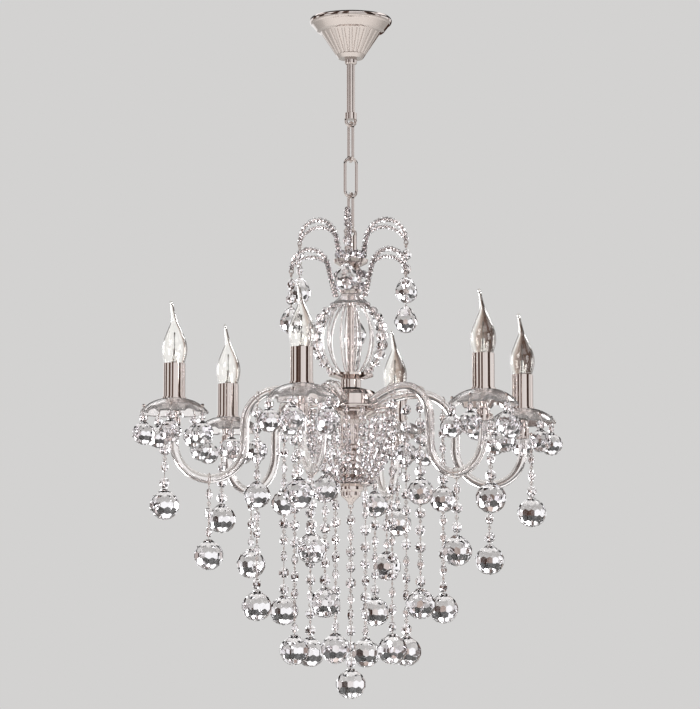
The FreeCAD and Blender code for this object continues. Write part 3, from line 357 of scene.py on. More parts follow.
def in_order(verts, facing):
    """Vertices in order round their middle, as seen along a direction."""
    side = facing.orthogonal().normalized()
    up = facing.cross(side)
    middle = sum((vert.co for vert in verts), Vector()) / len(verts)
    turns = {vert: math.atan2((vert.co - middle).dot(up), (vert.co - middle).dot(side)) for vert in verts}
    return sorted(verts, key=turns.get)


def cut_stone(name, planes):
    """A stone with one flat facet for each (direction, distance from the middle)."""
    hull = bmesh.new()
    for direction, distance in planes:
        hull.verts.new(direction.normalized() / distance)
    bmesh.ops.convex_hull(hull, input=hull.verts)
    hull.normal_update()
    stone = bmesh.new()
    corners = {}
    for face in hull.faces:
        corner = face.normal / face.normal.dot(face.verts[0].co)
        key = tuple(round(value / MM, 2) for value in corner)
        if key not in corners:
            corners[key] = stone.verts.new(corner)
        face.index = list(corners).index(key)
    ordered = list(corners.values())
    for vert in hull.verts:
        meeting = {face.index for face in vert.link_faces}
        if len(meeting) >= 3:
            stone.faces.new(in_order([ordered[number] for number in meeting], vert.co.normalized()))
    hull.free()
    return closed_mesh(stone, name)


def slanted(turn, slope):
    """A direction from its azimuth and its slope, in degrees."""
    flat = math.cos(math.radians(slope))
    return Vector((flat * math.cos(math.radians(turn)), flat * math.sin(math.radians(turn)),
                   math.sin(math.radians(slope))))


def octagon_bead(radius, thick):
    """An octagon bead whose thread runs along Z and whose tables look along X."""
    out, along = 0.86, 0.51
    planes = []
    for number in range(8):
        turn = math.radians(45 * number)
        edge = Vector((0, math.sin(turn), math.cos(turn)))
        planes.append((edge, radius * 0.96))
        for face in (-1, 1):
            slope = Vector((face * out, *(edge.yz * along)))
            planes.append((slope, radius * 0.49 + thick * 0.17))
    for face in (-1, 1):
        planes.append((Vector((face, 0, 0)), thick / 2))
    return cut_stone("octagon_bead", planes)


# How far above its middle a stone's thread ends, as a share of its radius.
BALL_REACH = 0.95
PEAR_REACH = 1.42


def ball_stone(name, radius, peak):
    """A faceted ball with a short neck, or a pear where its peak stands higher than its radius."""
    # Slope, number and first azimuth of each row of facets.
    rows = [(0, 12, 0), (27, 12, 15), (-27, 12, 15), (52, 12, 0), (-52, 12, 0), (-74, 6, 15)]
    planes = [(slanted(360 * number / count + start, slope),
               radius * 0.975 * max(1, peak * math.sin(math.radians(slope))))
              for slope, count, start in rows for number in range(count)]
    planes += [(Vector((0, 0, 1)), radius * max(1.08, peak - 0.1)), (Vector((0, 0, -1)), radius * 0.985)]
    return cut_stone(name, planes)


def round_bead(name, radius):
    """A small faceted bead whose thread runs along Z."""
    rows = [(0, 6, 0), (42, 6, 30), (-42, 6, 30)]
    planes = [(slanted(360 * number / count + start, slope), radius * 0.93)
              for slope, count, start in rows for number in range(count)]
    planes += [(Vector((0, 0, 1)), radius * 0.85), (Vector((0, 0, -1)), radius * 0.85)]
    return cut_stone(name, planes)


def bridge(shape, first, second, smooth=True):
    """Join two rings of vertices by a band of faces."""
    for side in range(len(first)):
        after = (side + 1) % len(first)
        shape.faces.new((first[side], first[after], second[after], second[side])).smooth = smooth


def tube(mesh, points, radius, sides=8, closed=False):
    """Add a round tube through points to a bmesh."""
    rings = []
    total = len(points)
    lean = None
    for number, point in enumerate(points):
        before = points[number - 1] if closed or number else point
        after = points[(number + 1) % total] if closed or number + 1 < total else point
        ahead = (after - before).normalized()
        lean = (lean - ahead * lean.dot(ahead)).normalized() if lean else ahead.orthogonal().normalized()
        other = ahead.cross(lean)
        rings.append([
            mesh.verts.new(point + radius * (lean * math.cos(math.tau * side / sides)
                                             + other * math.sin(math.tau * side / sides)))
            for side in range(sides)
        ])
    for first, second in zip(rings, rings[1:]):
        bridge(mesh, first, second)
    if closed:
        bridge(mesh, rings[-1], rings[0])
    else:
        mesh.faces.new(rings[0][::-1])
        mesh.faces.new(rings[-1])


def wire_ring(name, radius, wire, steps=24, sides=6):
    """A ring of wire that stands across X."""
    shape = bmesh.new()
    spots = [Vector((0, radius * math.cos(math.tau * k / steps), radius * math.sin(math.tau * k / steps)))
             for k in range(steps)]
    tube(shape, spots, wire, sides, closed=True)
    return closed_mesh(shape, name)


def arc(a, b, radius, steps):
    """Points on the short arc from a to b that bulges to the left of the way there, in X and Z."""
    chord = b - a
    left = Vector((-chord.y, chord.x)).normalized()
    centre = (a + b) / 2 - left * math.sqrt(max(radius ** 2 - (chord.length / 2) ** 2, 0))
    start, end = (math.atan2(p.y - centre.y, p.x - centre.x) for p in (a, b))
    sweep = (end - start + math.pi) % math.tau - math.pi
    turns = [start + sweep * k / steps for k in range(steps + 1)]
    return [centre + radius * Vector((math.cos(turn), math.sin(turn))) for turn in turns]


def upright(points):
    """Flat points of X and Z, in millimetres, as places in space, in metres."""
    return [Vector((point.x, 0, point.y)) * MM for point in points]


def bowed(start, end, radius, steps):
    """A line that bows outwards between two points of X and Z in millimetres, in metres."""
    return upright(arc(Vector(start), Vector(end), radius, steps))


# ---------------------------------------------------------------- geometry nodes

def input_names(tree, sockets):
    """Give a geometry tree its inputs, and a geometry output."""
    tree.interface.new_socket("Geometry", in_out="INPUT", socket_type="NodeSocketGeometry")
    for name, kind, default in sockets:
        socket = tree.interface.new_socket(name, in_out="INPUT", socket_type="NodeSocket" + kind)
        if default is not None:
            socket.default_value = default
    tree.interface.new_socket("Geometry", in_out="OUTPUT", socket_type="NodeSocketGeometry")
    return tree.nodes.new("NodeGroupInput").outputs


def stored(tree, name):
    """A number that each point carries."""
    node = add_node(tree, "GeometryNodeInputNamedAttribute", {"Name": name}, data_type="FLOAT")
    return node.outputs["Attribute"]


def painted(tree, geometry, material):
    """Geometry with its material."""
    node = add_node(tree, "GeometryNodeSetMaterial", {"Geometry": geometry, "Material": material})
    return node.outputs["Geometry"]


def set_out(tree, points, shape, turn, material):
    """One stone at each point, turned, sized by the point's own size, and with its material."""
    stone = add_node(tree, "GeometryNodeObjectInfo", {"Object": shape, "As Instance": True})
    placed = add_node(tree, "GeometryNodeInstanceOnPoints", {
        "Points": points, "Instance": stone.outputs["Geometry"], "Rotation": turn,
        "Scale": stored(tree, "size"),
    })
    real = add_node(tree, "GeometryNodeRealizeInstances", {"Geometry": placed.outputs["Instances"]})
    return painted(tree, real.outputs["Geometry"], material)


def threaded_tree():
    """Beads threaded on each path of the geometry, larger towards its middle, with the wire through them."""
    tree = bpy.data.node_groups.new("threaded_beads", "GeometryNodeTree")
    given = input_names(tree, [
        ("Bead", "Object", None), ("Count", "Int", 5), ("End size", "Float", 1.0), ("Twist", "Float", 0.0),
        ("Seed", "Int", 0), ("Wire radius", "Float", 0.0005), ("Stone", "Material", None),
        ("Wire", "Material", None),
    ])
    path = add_node(tree, "GeometryNodeMeshToCurve", {"Mesh": given["Geometry"]}).outputs["Curve"]
    share = add_node(tree, "GeometryNodeSplineParameter").outputs["Factor"]
    turned = add_node(tree, "ShaderNodeMath", {0: share, 1: math.pi}, operation="MULTIPLY")
    swell = add_node(tree, "ShaderNodeMath", {0: turned.outputs[0]}, operation="SINE")
    size = add_node(tree, "ShaderNodeMapRange", {"Value": swell.outputs[0], "To Min": given["End size"]})
    kept = add_node(tree, "GeometryNodeStoreNamedAttribute", {
        "Geometry": path, "Name": "size", "Value": size.outputs["Result"],
    }, data_type="FLOAT", domain="POINT")
    margin = add_node(tree, "ShaderNodeMath", {0: 0.5, 1: given["Count"]}, operation="DIVIDE")
    rest = add_node(tree, "ShaderNodeMath", {0: 1.0, 1: margin.outputs[0]}, operation="SUBTRACT")
    trimmed = add_node(tree, "GeometryNodeTrimCurve", {
        "Curve": kept.outputs["Geometry"], "Start": margin.outputs[0], "End": rest.outputs[0],
    }, mode="FACTOR")
    spots = add_node(tree, "GeometryNodeCurveToPoints", {
        "Curve": trimmed.outputs["Curve"], "Count": given["Count"],
    }, mode="COUNT")
    along = add_node(tree, "FunctionNodeAlignRotationToVector", {
        "Vector": spots.outputs["Tangent"],
    }, axis="Z")
    low = add_node(tree, "ShaderNodeMath", {0: given["Twist"], 1: -1.0}, operation="MULTIPLY")
    chance = add_node(tree, "FunctionNodeRandomValue", {
        2: low.outputs[0], 3: given["Twist"], "Seed": given["Seed"],
    }, data_type="FLOAT")
    spin = add_node(tree, "ShaderNodeCombineXYZ", {"Z": chance.outputs[1]})
    spin_turn = add_node(tree, "FunctionNodeEulerToRotation", {"Euler": spin.outputs[0]})
    twisted = add_node(tree, "FunctionNodeRotateRotation", {
        "Rotation": along.outputs["Rotation"], "Rotate By": spin_turn.outputs["Rotation"],
    }, rotation_space="LOCAL")
    beads = set_out(tree, spots.outputs["Points"], given["Bead"], twisted.outputs["Rotation"], given["Stone"])
    section = add_node(tree, "GeometryNodeCurvePrimitiveCircle", {
        "Resolution": 6, "Radius": given["Wire radius"],
    })
    swept = add_node(tree, "GeometryNodeCurveToMesh", {
        "Curve": path, "Profile Curve": section.outputs["Curve"], "Fill Caps": True,
    })
    both = add_node(tree, "GeometryNodeJoinGeometry")
    tree.links.new(painted(tree, swept.outputs["Mesh"], given["Wire"]), both.inputs[0])
    tree.links.new(beads, both.inputs[0])
    add_node(tree, "NodeGroupOutput", {"Geometry": both.outputs[0]})
    return tree


def hung_tree():
    """One stone at each point, turned and sized by the point's own attributes."""
    tree = bpy.data.node_groups.new("hung_stones", "GeometryNodeTree")
    given = input_names(tree, [("Stone shape", "Object", None), ("Stone", "Material", None)])
    spin = add_node(tree, "ShaderNodeCombineXYZ", {"Z": stored(tree, "turn")})
    turned = add_node(tree, "FunctionNodeEulerToRotation", {"Euler": spin.outputs[0]}).outputs["Rotation"]
    stones = set_out(tree, given["Geometry"], given["Stone shape"], turned, given["Stone"])
    add_node(tree, "NodeGroupOutput", {"Geometry": stones})
    return tree


TREES = {}


def grown(base, maker, **inputs):
    """The plain mesh that a geometry tree makes of a base mesh."""
    if maker not in TREES:
        TREES[maker] = maker()
    tree = TREES[maker]
    thing = bpy.data.objects.new("growing", base)
    bpy.context.scene.collection.objects.link(thing)
    modifier = thing.modifiers.new("tree", "NODES")
    modifier.node_group = tree
    names = {item.name: item.identifier for item in tree.interface.items_tree if item.in_out == "INPUT"}
    for key, value in inputs.items():
        modifier[names[key.replace("_", " ")]] = value
    bpy.context.view_layer.update()
    mesh = bpy.data.meshes.new_from_object(thing.evaluated_get(bpy.context.evaluated_depsgraph_get()))
    thing.modifiers.remove(modifier)
    bpy.data.objects.remove(thing)
    return mesh


STAMPS = {}


def stamp(mesh):
    """A hidden object that a tree can repeat."""
    if mesh.name not in STAMPS:
        STAMPS[mesh.name] = bpy.data.objects.new(mesh.name, mesh)
    return STAMPS[mesh.name]


def path_mesh(paths):
    """A mesh of bare edges along each path."""
    mesh = bpy.data.meshes.new("paths")
    points, edges = [], []
    for path in paths:
        edges += [(len(points) + k, len(points) + k + 1) for k in range(len(path) - 1)]
        points += path
    mesh.from_pydata(points, edges, [])
    return mesh


def spot_mesh(spots):
    """A mesh of bare points, each with its turn and its size."""
    mesh = bpy.data.meshes.new("spots")
    mesh.from_pydata([spot for spot, _, _ in spots], [], [])
    for name, column in (("turn", 1), ("size", 2)):
        values = mesh.attributes.new(name, "FLOAT", "POINT")
        for number, spot in enumerate(spots):
            values.data[number].value = spot[column]
    return mesh


def threaded(paths, bead, count, **more):
    """Beads on wires along paths."""
    inputs = {"End_size": 1.0, "Twist": 0.0, "Seed": 0, "Wire_radius": 0.0005}
    inputs.update(more)
    return grown(path_mesh(paths), threaded_tree, Bead=stamp(bead), Count=count, Stone=finish(cut_crystal),
                 Wire=finish(chrome_plate), **inputs)


def hung(spots, shape, maker):
    """Stones or rings at spots."""
    return grown(spot_mesh(spots), hung_tree, Stone_shape=stamp(shape), Stone=finish(maker))


def piece(name, meshes, body, replaced):
    """Join meshes to one piece that rides on a body and stands for CAD nodes."""
    whole = bmesh.new()
    makes = []
    for mesh in meshes:
        for material in mesh.materials:
            if material not in makes:
                makes.append(material)
        start = len(whole.faces)
        whole.from_mesh(mesh)
        whole.faces.ensure_lookup_table()
        for face in whole.faces[start:]:
            face.material_index = makes.index(mesh.materials[face.material_index])
    joined = bpy.data.meshes.new(name)
    whole.to_mesh(joined)
    whole.free()
    for material in makes:
        joined.materials.append(material)
    for attribute in [a.name for a in joined.attributes if a.name in ("turn", "size")]:
        joined.attributes.remove(joined.attributes[attribute])
    thing = bpy.data.objects.new(name, joined)
    bpy.context.scene.collection.objects.link(thing)
    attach(thing, body)
    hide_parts(*replaced)


# ---------------------------------------------------------------- crystals

class Stones:
    """The cut shapes, made once from the sizes."""

    def __init__(self):
        sizes = bpy.context.scene.crystal_sizes
        beadwork = bpy.context.scene.beadwork_sizes
        self.bead = octagon_bead(sizes.bead_radius, sizes.bead_thick)
        self.ball = ball_stone("faceted_ball", UNIT_BALL * MM, 1)
        self.pear = ball_stone("faceted_pear", UNIT_BALL * MM, 1.55)
        self.round = round_bead("round_bead", MM)
        self.link = wire_ring("link_ring", 2.6 * MM, sizes.wire_radius, 8, 4)
        self.frond = round_bead("frond_bead", beadwork.frond_bead)


SHAPES = []


def stones():
    """The shared cut shapes."""
    if not SHAPES:
        SHAPES.append(Stones())
    return SHAPES[0]


def string_parts(radius, hook, ring, balls, places, seed, end_stone=None, reach=BALL_REACH):
    """The meshes of like strings: their octagon beads, wire rings and balls, at each of some places."""
    sizes = bpy.context.scene.crystal_sizes
    shapes = stones()
    chance = random.Random(seed)
    top = hook - ring
    meshes, ball_spots, link_spots = [], [], []
    for height, ball in balls:
        foot = height + reach * ball
        count = max(1, round((top - foot) * MM / sizes.bead_pitch))
        paths = [[place @ Vector((radius, 0, z)) for z in (top * MM, foot * MM)] for place in places]
        meshes.append(threaded(paths, shapes.bead, count, Twist=1.25, Seed=seed + round(height),
                               Wire_radius=sizes.wire_radius))
        pitch = (top - foot) / count
        for place in places:
            facing = place.to_euler().z
            for number in range(count + 1):
                spot = place @ Vector((radius, 0, (top - number * pitch) * MM))
                link_spots.append((spot, facing + chance.uniform(-1.5, 1.5), 1.0))
            spot = place @ Vector((radius, 0, height * MM))
            ball_spots.append((spot, chance.uniform(0, 6.2), ball / UNIT_BALL))
        top = height - BALL_REACH * ball
    meshes.append(hung(ball_spots, end_stone or shapes.ball, cut_crystal))
    meshes.append(hung(link_spots, shapes.link, chrome_plate))
    return meshes


def hook_rings(radius, hook, ring, places):
    """The wire rings that strings hang by."""
    wire = bpy.context.scene.crystal_sizes.wire_radius
    shape = wire_ring(f"hook_ring_{round(ring * 100)}", ring * MM, wire + 0.15 * MM)
    spots = [(place @ Vector((radius, 0, hook * MM)), place.to_euler().z, 1.0) for place in places]
    return hung(spots, shape, chrome_plate)


class CHANDELIER_OT_strings(bpy.types.Operator):
    """Hang the strings of octagon beads and faceted balls"""
    bl_idname = "chandelier.strings"
    bl_label = "Crystal strings"

    def execute(self, context):
        seed = context.scene.crystal_sizes.seed
        for kind, (radius, hook, ring, balls) in STRINGS.items():
            for pair in range(3):
                places = [around(arm_turn(pair + 3 * end)) for end in (0, 1)]
                meshes = string_parts(radius * MM, hook, ring, balls, places, seed + 10 * pair)
                meshes.append(hook_rings(radius * MM, hook, ring, places))
                piece(f"{kind}_crystals_{pair + 1}", meshes, f"{kind}_pair_{pair + 1}",
                      [f"{kind}_strings_{pair + 1}"])
        here = [Matrix.Identity(4)]
        meshes = string_parts(0, CENTRE_HOOK - 1, SMALL_RING, [CENTRE_BALL], here, seed + 91)
        meshes.append(hook_rings(0, CENTRE_HOOK, SMALL_RING, here))
        piece("centre_crystals", meshes, "centre_drop", ["centre_string"])
        return {"FINISHED"}


class CHANDELIER_OT_dish_drops(bpy.types.Operator):
    """Hang the bead and ball under each petal of the glass dishes"""
    bl_idname = "chandelier.dish_drops"
    bl_label = "Dish drops"

    def execute(self, context):
        sizes = context.scene.crystal_sizes
        shapes = stones()
        chance = random.Random(sizes.seed + 300)
        for number in range(ARMS):
            name = f"bobeche_drops_{number + 1}"
            low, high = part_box(name)
            middle = low.z + sizes.drop_ball * 0.93 - sizes.drop_hang
            places = [candle_place(number) @ around(math.tau * petal / PETALS)
                      @ Matrix.Translation((sizes.drop_ring, 0, 0)) for petal in range(PETALS)]
            pins = [[place @ Vector((0, 0, high.z)), place @ Vector((0, 0, middle + sizes.drop_ball))]
                    for place in places]
            bead_height = middle + sizes.drop_ball + sizes.bead_radius * 0.94
            scale = sizes.drop_ball / (UNIT_BALL * MM)
            balls = [(place @ Vector((0, 0, middle)), chance.uniform(0, 6.2), scale) for place in places]
            beads = [(place @ Vector((0, 0, bead_height)), chance.uniform(0, 6.2), 0.9) for place in places]
            heads = [(place @ Vector((0, 0, high.z - 0.5 * MM)), 0.0, 2.2) for place in places]
            meshes = [
                hung(balls, shapes.ball, cut_crystal), hung(beads, shapes.bead, cut_crystal),
                hung(heads, shapes.round, chrome_plate),
                threaded(pins, shapes.round, 2, End_size=0.5, Wire_radius=sizes.wire_radius),
            ]
            piece(f"dish_crystals_{number + 1}", meshes, f"dish_{number + 1}", [name])
        return {"FINISHED"}


# ---------------------------------------------------------------- crown and basket

def frond_paths(root, height, lean, rise, bend, fall):
    """The outer and the inner band of a frond, in metres, and where it ends."""
    slope = math.atan2(rise, lean)
    start, turn = Vector((root, height)), Vector((root + lean, height + rise))
    peak = Vector((turn.x + bend * math.sin(slope), turn.y + bend * (1 - math.cos(slope))))
    end = Vector((peak.x + fall, peak.y - fall))
    outer = [start.lerp(turn, k / 6) for k in range(6)] + arc(turn, peak, bend, 10)[:-1]
    outer += arc(peak, end, fall, 12)
    inner = [start.lerp(turn, k / 6) + Vector((4.2 - 0.5 * k, 0)) for k in range(6)]
    inner += arc(turn, end, INNER_BAND_BEND, 18)
    return upright(outer), upright(inner), end


class CHANDELIER_OT_fronds(bpy.types.Operator):
    """Thread the beads of the six drooping fronds and hang a crystal from each"""
    bl_idname = "chandelier.fronds"
    bl_label = "Crown fronds"

    def execute(self, context):
        beadwork, sizes = context.scene.beadwork_sizes, context.scene.crystal_sizes
        shapes = stones()
        outers, inners, eyes, ends = [], [], [], {}
        for kind, opposite in FROND_TURNS.items():
            outer, inner, end = frond_paths(*FRONDS[kind])
            ends[kind] = end
            places = ring_of(3, CROWN_TURN + opposite)
            outers += copies(outer, places)
            inners += copies(inner, places)
            middle = Vector((end.x, 0, end.y - SMALL_RING)) * MM
            eyes += [(place @ middle, place.to_euler().z + math.pi / 2, 1.0) for place in places]
        small = round_bead("small_frond_bead", beadwork.frond_bead * 0.8)
        eye = wire_ring("frond_eye", SMALL_RING * MM, 0.9 * MM)
        meshes = [
            threaded(outers, shapes.frond, 21, End_size=0.9, Twist=3.1, Seed=3, Wire_radius=0.0011),
            threaded(inners, small, 23, End_size=0.9, Twist=3.1, Seed=4, Wire_radius=0.0009),
            hung(eyes, eye, chrome_plate),
        ]
        piece("frond_beads", meshes, "frame", ["crown_fronds"])
        for number in range(3):
            meshes = []
            for kind, opposite in FROND_TURNS.items():
                end = ends[kind]
                place = [ring_of(3, CROWN_TURN + opposite)[number]]
                hook = end.y - 2 * SMALL_RING - HOOK_SAG
                pear = (PEAR_HEIGHTS[kind], sizes.crown_pear / MM)
                meshes += string_parts(end.x * MM, hook, SMALL_RING, [pear], place,
                                       sizes.seed + 40 + number, shapes.pear, PEAR_REACH)
                meshes.append(hook_rings(end.x * MM, hook, SMALL_RING, place))
            piece(f"crown_crystals_{number + 1}", meshes, f"crown_pair_{number + 1}",
                  [f"crown_drops_{number + 1}"])
        return {"FINISHED"}


class CHANDELIER_OT_cage(bpy.types.Operator):
    """Bend the glass rods of the crown's cage and thread the garlands outside them"""
    bl_idname = "chandelier.cage"
    bl_label = "Crown cage"

    def execute(self, context):
        rods = bmesh.new()
        for rod in copies(bowed(*CAGE_ROD, 28), ring_of(CAGE_RODS, CROWN_TURN + math.pi / CAGE_RODS)):
            tube(rods, rod, 1.8 * MM, 10)
        bead = round_bead("garland_bead", context.scene.beadwork_sizes.garland_bead)
        paths = copies(bowed(*GARLAND, 28), ring_of(3, CROWN_TURN + math.pi))
        meshes = [mesh_of(rods, "cage_rods", drawn_glass),
                  threaded(paths, bead, 9, End_size=0.5, Twist=3.1, Seed=8, Wire_radius=0.0012)]
        piece("cage_and_garlands", meshes, "frame", ["crown_cage"])
        return {"FINISHED"}


class CHANDELIER_OT_column(bpy.types.Operator):
    """Set the rows of beads round the crown's column, over its small bell"""
    bl_idname = "chandelier.column"
    bl_label = "Crown column"

    def execute(self, context):
        core, bell = bmesh.new(), bmesh.new()
        rings = lathe(core, [(height, radius, 0) for height, radius in COLUMN_CORE], sides=48)
        for ring in (rings[0], rings[-1]):
            core.faces.new(ring)
        rings = lathe(bell, [(height, radius, 0) for height, radius in BELL], sides=64)
        bridge(bell, rings[-1], rings[0], smooth=False)
        beads = []
        for number, (height, ring, count, radius) in enumerate(COLUMN_ROWS):
            for place in range(count):
                turn = math.tau * (place + 0.5 * number) / count
                spot = Vector((ring * math.cos(turn), ring * math.sin(turn), height)) * MM
                beads.append((spot, turn, radius))
        meshes = [mesh_of(core, "column_core", chrome_plate), mesh_of(bell, "column_bell", drawn_glass),
                  hung(beads, stones().round, cut_crystal)]
        piece("crown_column", meshes, "frame", ["crown_bell"])
        return {"FINISHED"}


class CHANDELIER_OT_basket(bpy.types.Operator):
    """Thread the bead chains of the basket under the hub"""
    bl_idname = "chandelier.basket"
    bl_label = "Bead basket"

    def execute(self, context):
        sizes = context.scene.beadwork_sizes
        chains = sizes.basket_chains
        paths = copies(bowed(*BASKET_CHAIN, 24), ring_of(chains, ARM_TURN + math.pi / chains))
        bead = round_bead("basket_bead", sizes.basket_bead)
        meshes = [threaded(paths, bead, 10, End_size=0.6, Twist=3.1, Seed=12, Wire_radius=0.0008)]
        piece("basket_beads", meshes, "frame", ["bead_basket"])
        return {"FINISHED"}


# ---------------------------------------------------------------- lamps

BULB_SIDES = 32
# Height and radius of the bulb's glass, in mm, and how far it leans.
BULB_OUTLINE = [
    (-496, 7.0, 0), (-495.4, 10.0, 0), (-494.4, 12.2, 0), (-493, 13.4, 0), (-489, 14.7, 0), (-484, 16.0, 0),
    (-479, 16.9, 0), (-474, 17.3, 0), (-470, 17.2, 0), (-466, 16.6, 0), (-462, 15.5, 0), (-457, 13.7, 0),
    (-453, 12.0, 0), (-449, 10.4, 0), (-445, 8.7, -0.1), (-440.5, 6.5, -0.2), (-436, 4.8, -0.5),
    (-431, 3.8, -1.1), (-425, 3.1, -2.0), (-419, 2.7, -3.0), (-413, 2.4, -4.0), (-409, 2.1, -4.7),
    (-407.2, 1.5, -5.0), (-406.3, 0.6, -5.1),
]


def lathe(shape, outline, sides, radius_at=None):
    """Add rings of vertices for an outline of (height, radius, lean) in mm, joined by faces."""
    rings = []
    for height, radius, lean in outline:
        ring = []
        for side in range(sides):
            turn = math.tau * side / sides
            reach = radius_at(height, radius, turn) if radius_at else radius
            spot = Vector((lean + reach * math.cos(turn), reach * math.sin(turn), height))
            ring.append(shape.verts.new(spot * MM))
        rings.append(ring)
    for first, second in zip(rings, rings[1:]):
        bridge(shape, first, second)
    return rings


def bulb_glass():
    """The blown glass of a bulb, hollow, with the stem inside it."""
    wall = bpy.context.scene.lamp_sizes.glass_wall / MM
    inner = [(height, max(radius - wall, 0.3), lean) for height, radius, lean in BULB_OUTLINE[1:-2]]
    stem = [(-494.5, 5.0, 0), (-490, 4.0, 0), (-484, 2.6, 0), (-478, 2.2, 0), (-474, 2.6, 0),
            (-472.5, 1.6, 0)]
    shape = bmesh.new()
    outside = lathe(shape, BULB_OUTLINE, BULB_SIDES)
    for ring in (outside[0], outside[-1]):
        shape.faces.new(ring)
    skin = set(shape.faces)
    inside = lathe(shape, inner, BULB_SIDES)
    pole = lathe(shape, stem, BULB_SIDES)
    bridge(shape, inside[0], pole[0], smooth=False)
    for ring in (inside[-1], pole[-1]):
        shape.faces.new(ring)
    return mesh_of(shape, "bulb_glass", lamp_glass, [face for face in shape.faces if face not in skin])


THREAD_RADIUS = 6.4
THREAD_DEPTH = 0.45
THREAD_PITCH = 2.8


def thread_radius(height, radius, turn):
    """The radius of a bulb's base, with the screw thread on its straight part."""
    if radius != THREAD_RADIUS:
        return radius
    return radius + THREAD_DEPTH * math.sin(math.tau * height / THREAD_PITCH - turn)


def bulb_base():
    """The screw base of a bulb, with its thread and a contact at its foot."""
    outline = [(-518, 2.5, 0), (-517.6, 3.4, 0), (-515.2, 5.6, 0)]
    outline += [(-514.5 + 0.35 * k, THREAD_RADIUS, 0) for k in range(50)]
    outline += [(-496.8, 6.9, 0), (-496.5, 8.6, 0), (-496.1, 8.6, 0), (-496.1, 6.8, 0)]
    shape = bmesh.new()
    rings = lathe(shape, outline, BULB_SIDES, thread_radius)
    shape.faces.new(rings[0])
    shape.faces.new(rings[-1])
    return mesh_of(shape, "bulb_base", turned_brass)


def filament():
    """Two lead wires and the coiled filament that they hold in a tall loop."""
    half_width, foot, rise = 4.2, -468, 17
    shape = bmesh.new()
    for side in (-1, 1):
        lead = [Vector((0, side * reach, height)) * MM
                for reach, height in ((1.3, -480), (1.5, -474), (half_width, foot))]
        tube(shape, lead, 0.28 * MM, 6)
    steps = 90
    coil = []
    for step in range(steps + 1):
        share = step / steps
        sweep = math.pi * share
        middle = Vector((0, -half_width * math.cos(sweep), foot + rise * math.sin(sweep)))
        coil.append((middle + Vector((0.8 * math.cos(share * 90), 0, 0.4 * math.sin(share * 90)))) * MM)
    tube(shape, coil, bpy.context.scene.lamp_sizes.filament, 5)
    return mesh_of(shape, "filament", tungsten)


class CHANDELIER_OT_bulbs(bpy.types.Operator):
    """Blow the six candle bulbs, with their bases and filaments"""
    bl_idname = "chandelier.bulbs"
    bl_label = "Candle bulbs"

    def execute(self, context):
        parts = [bulb_glass(), bulb_base(), filament()]
        for number in range(ARMS):
            placed = []
            for mesh in parts:
                copy = mesh.copy()
                copy.transform(Matrix.Translation(candle_place(number).translation))
                placed.append(copy)
            piece(f"lamp_bulb_{number + 1}", placed, f"lamp_{number + 1}",
                  [f"bulb_{number + 1}"])
        return {"FINISHED"}


# ---------------------------------------------------------------- carried-over nodes

COATS = {
    zinc_plate: ["ceiling_plate"],
    white_ceramic: ["terminal_block", "lamp_holders"],
    chrome_plate: ["canopy", "canopy_collar", "down_rod", "chain_link_1", "chain_link_2", "chain_link_3",
                   "top_loop", "stem_tube", "crown_cup", "arm_hub", "finial_bowl", "arm_ferrules",
                   "candle_sleeves"],
    drawn_glass: [f"{kind}_{k + 1}" for kind in ("arm", "bobeche") for k in range(ARMS)],
}


class CHANDELIER_OT_metal(bpy.types.Operator):
    """Finish the metal, ceramic and plain glass parts"""
    bl_idname = "chandelier.metal"
    bl_label = "Metal and glass"

    def execute(self, context):
        for maker, nodes in COATS.items():
            for node in nodes:
                coat(node, maker)
        return {"FINISHED"}


# ---------------------------------------------------------------- studio

def softbox(name, place, size, power):
    """A square soft lamp that looks at the chandelier's middle."""
    lamp = bpy.data.lights.new(name, "AREA")
    lamp.shape = "SQUARE"
    lamp.size = size
    lamp.energy = power
    thing = bpy.data.objects.new(name, lamp)
    thing.location = place
    thing.visible_glossy = False
    thing.rotation_euler = (Vector((0, 0, -0.5)) - Vector(place)).to_track_quat("-Z", "Y").to_euler()
    bpy.context.scene.collection.objects.link(thing)


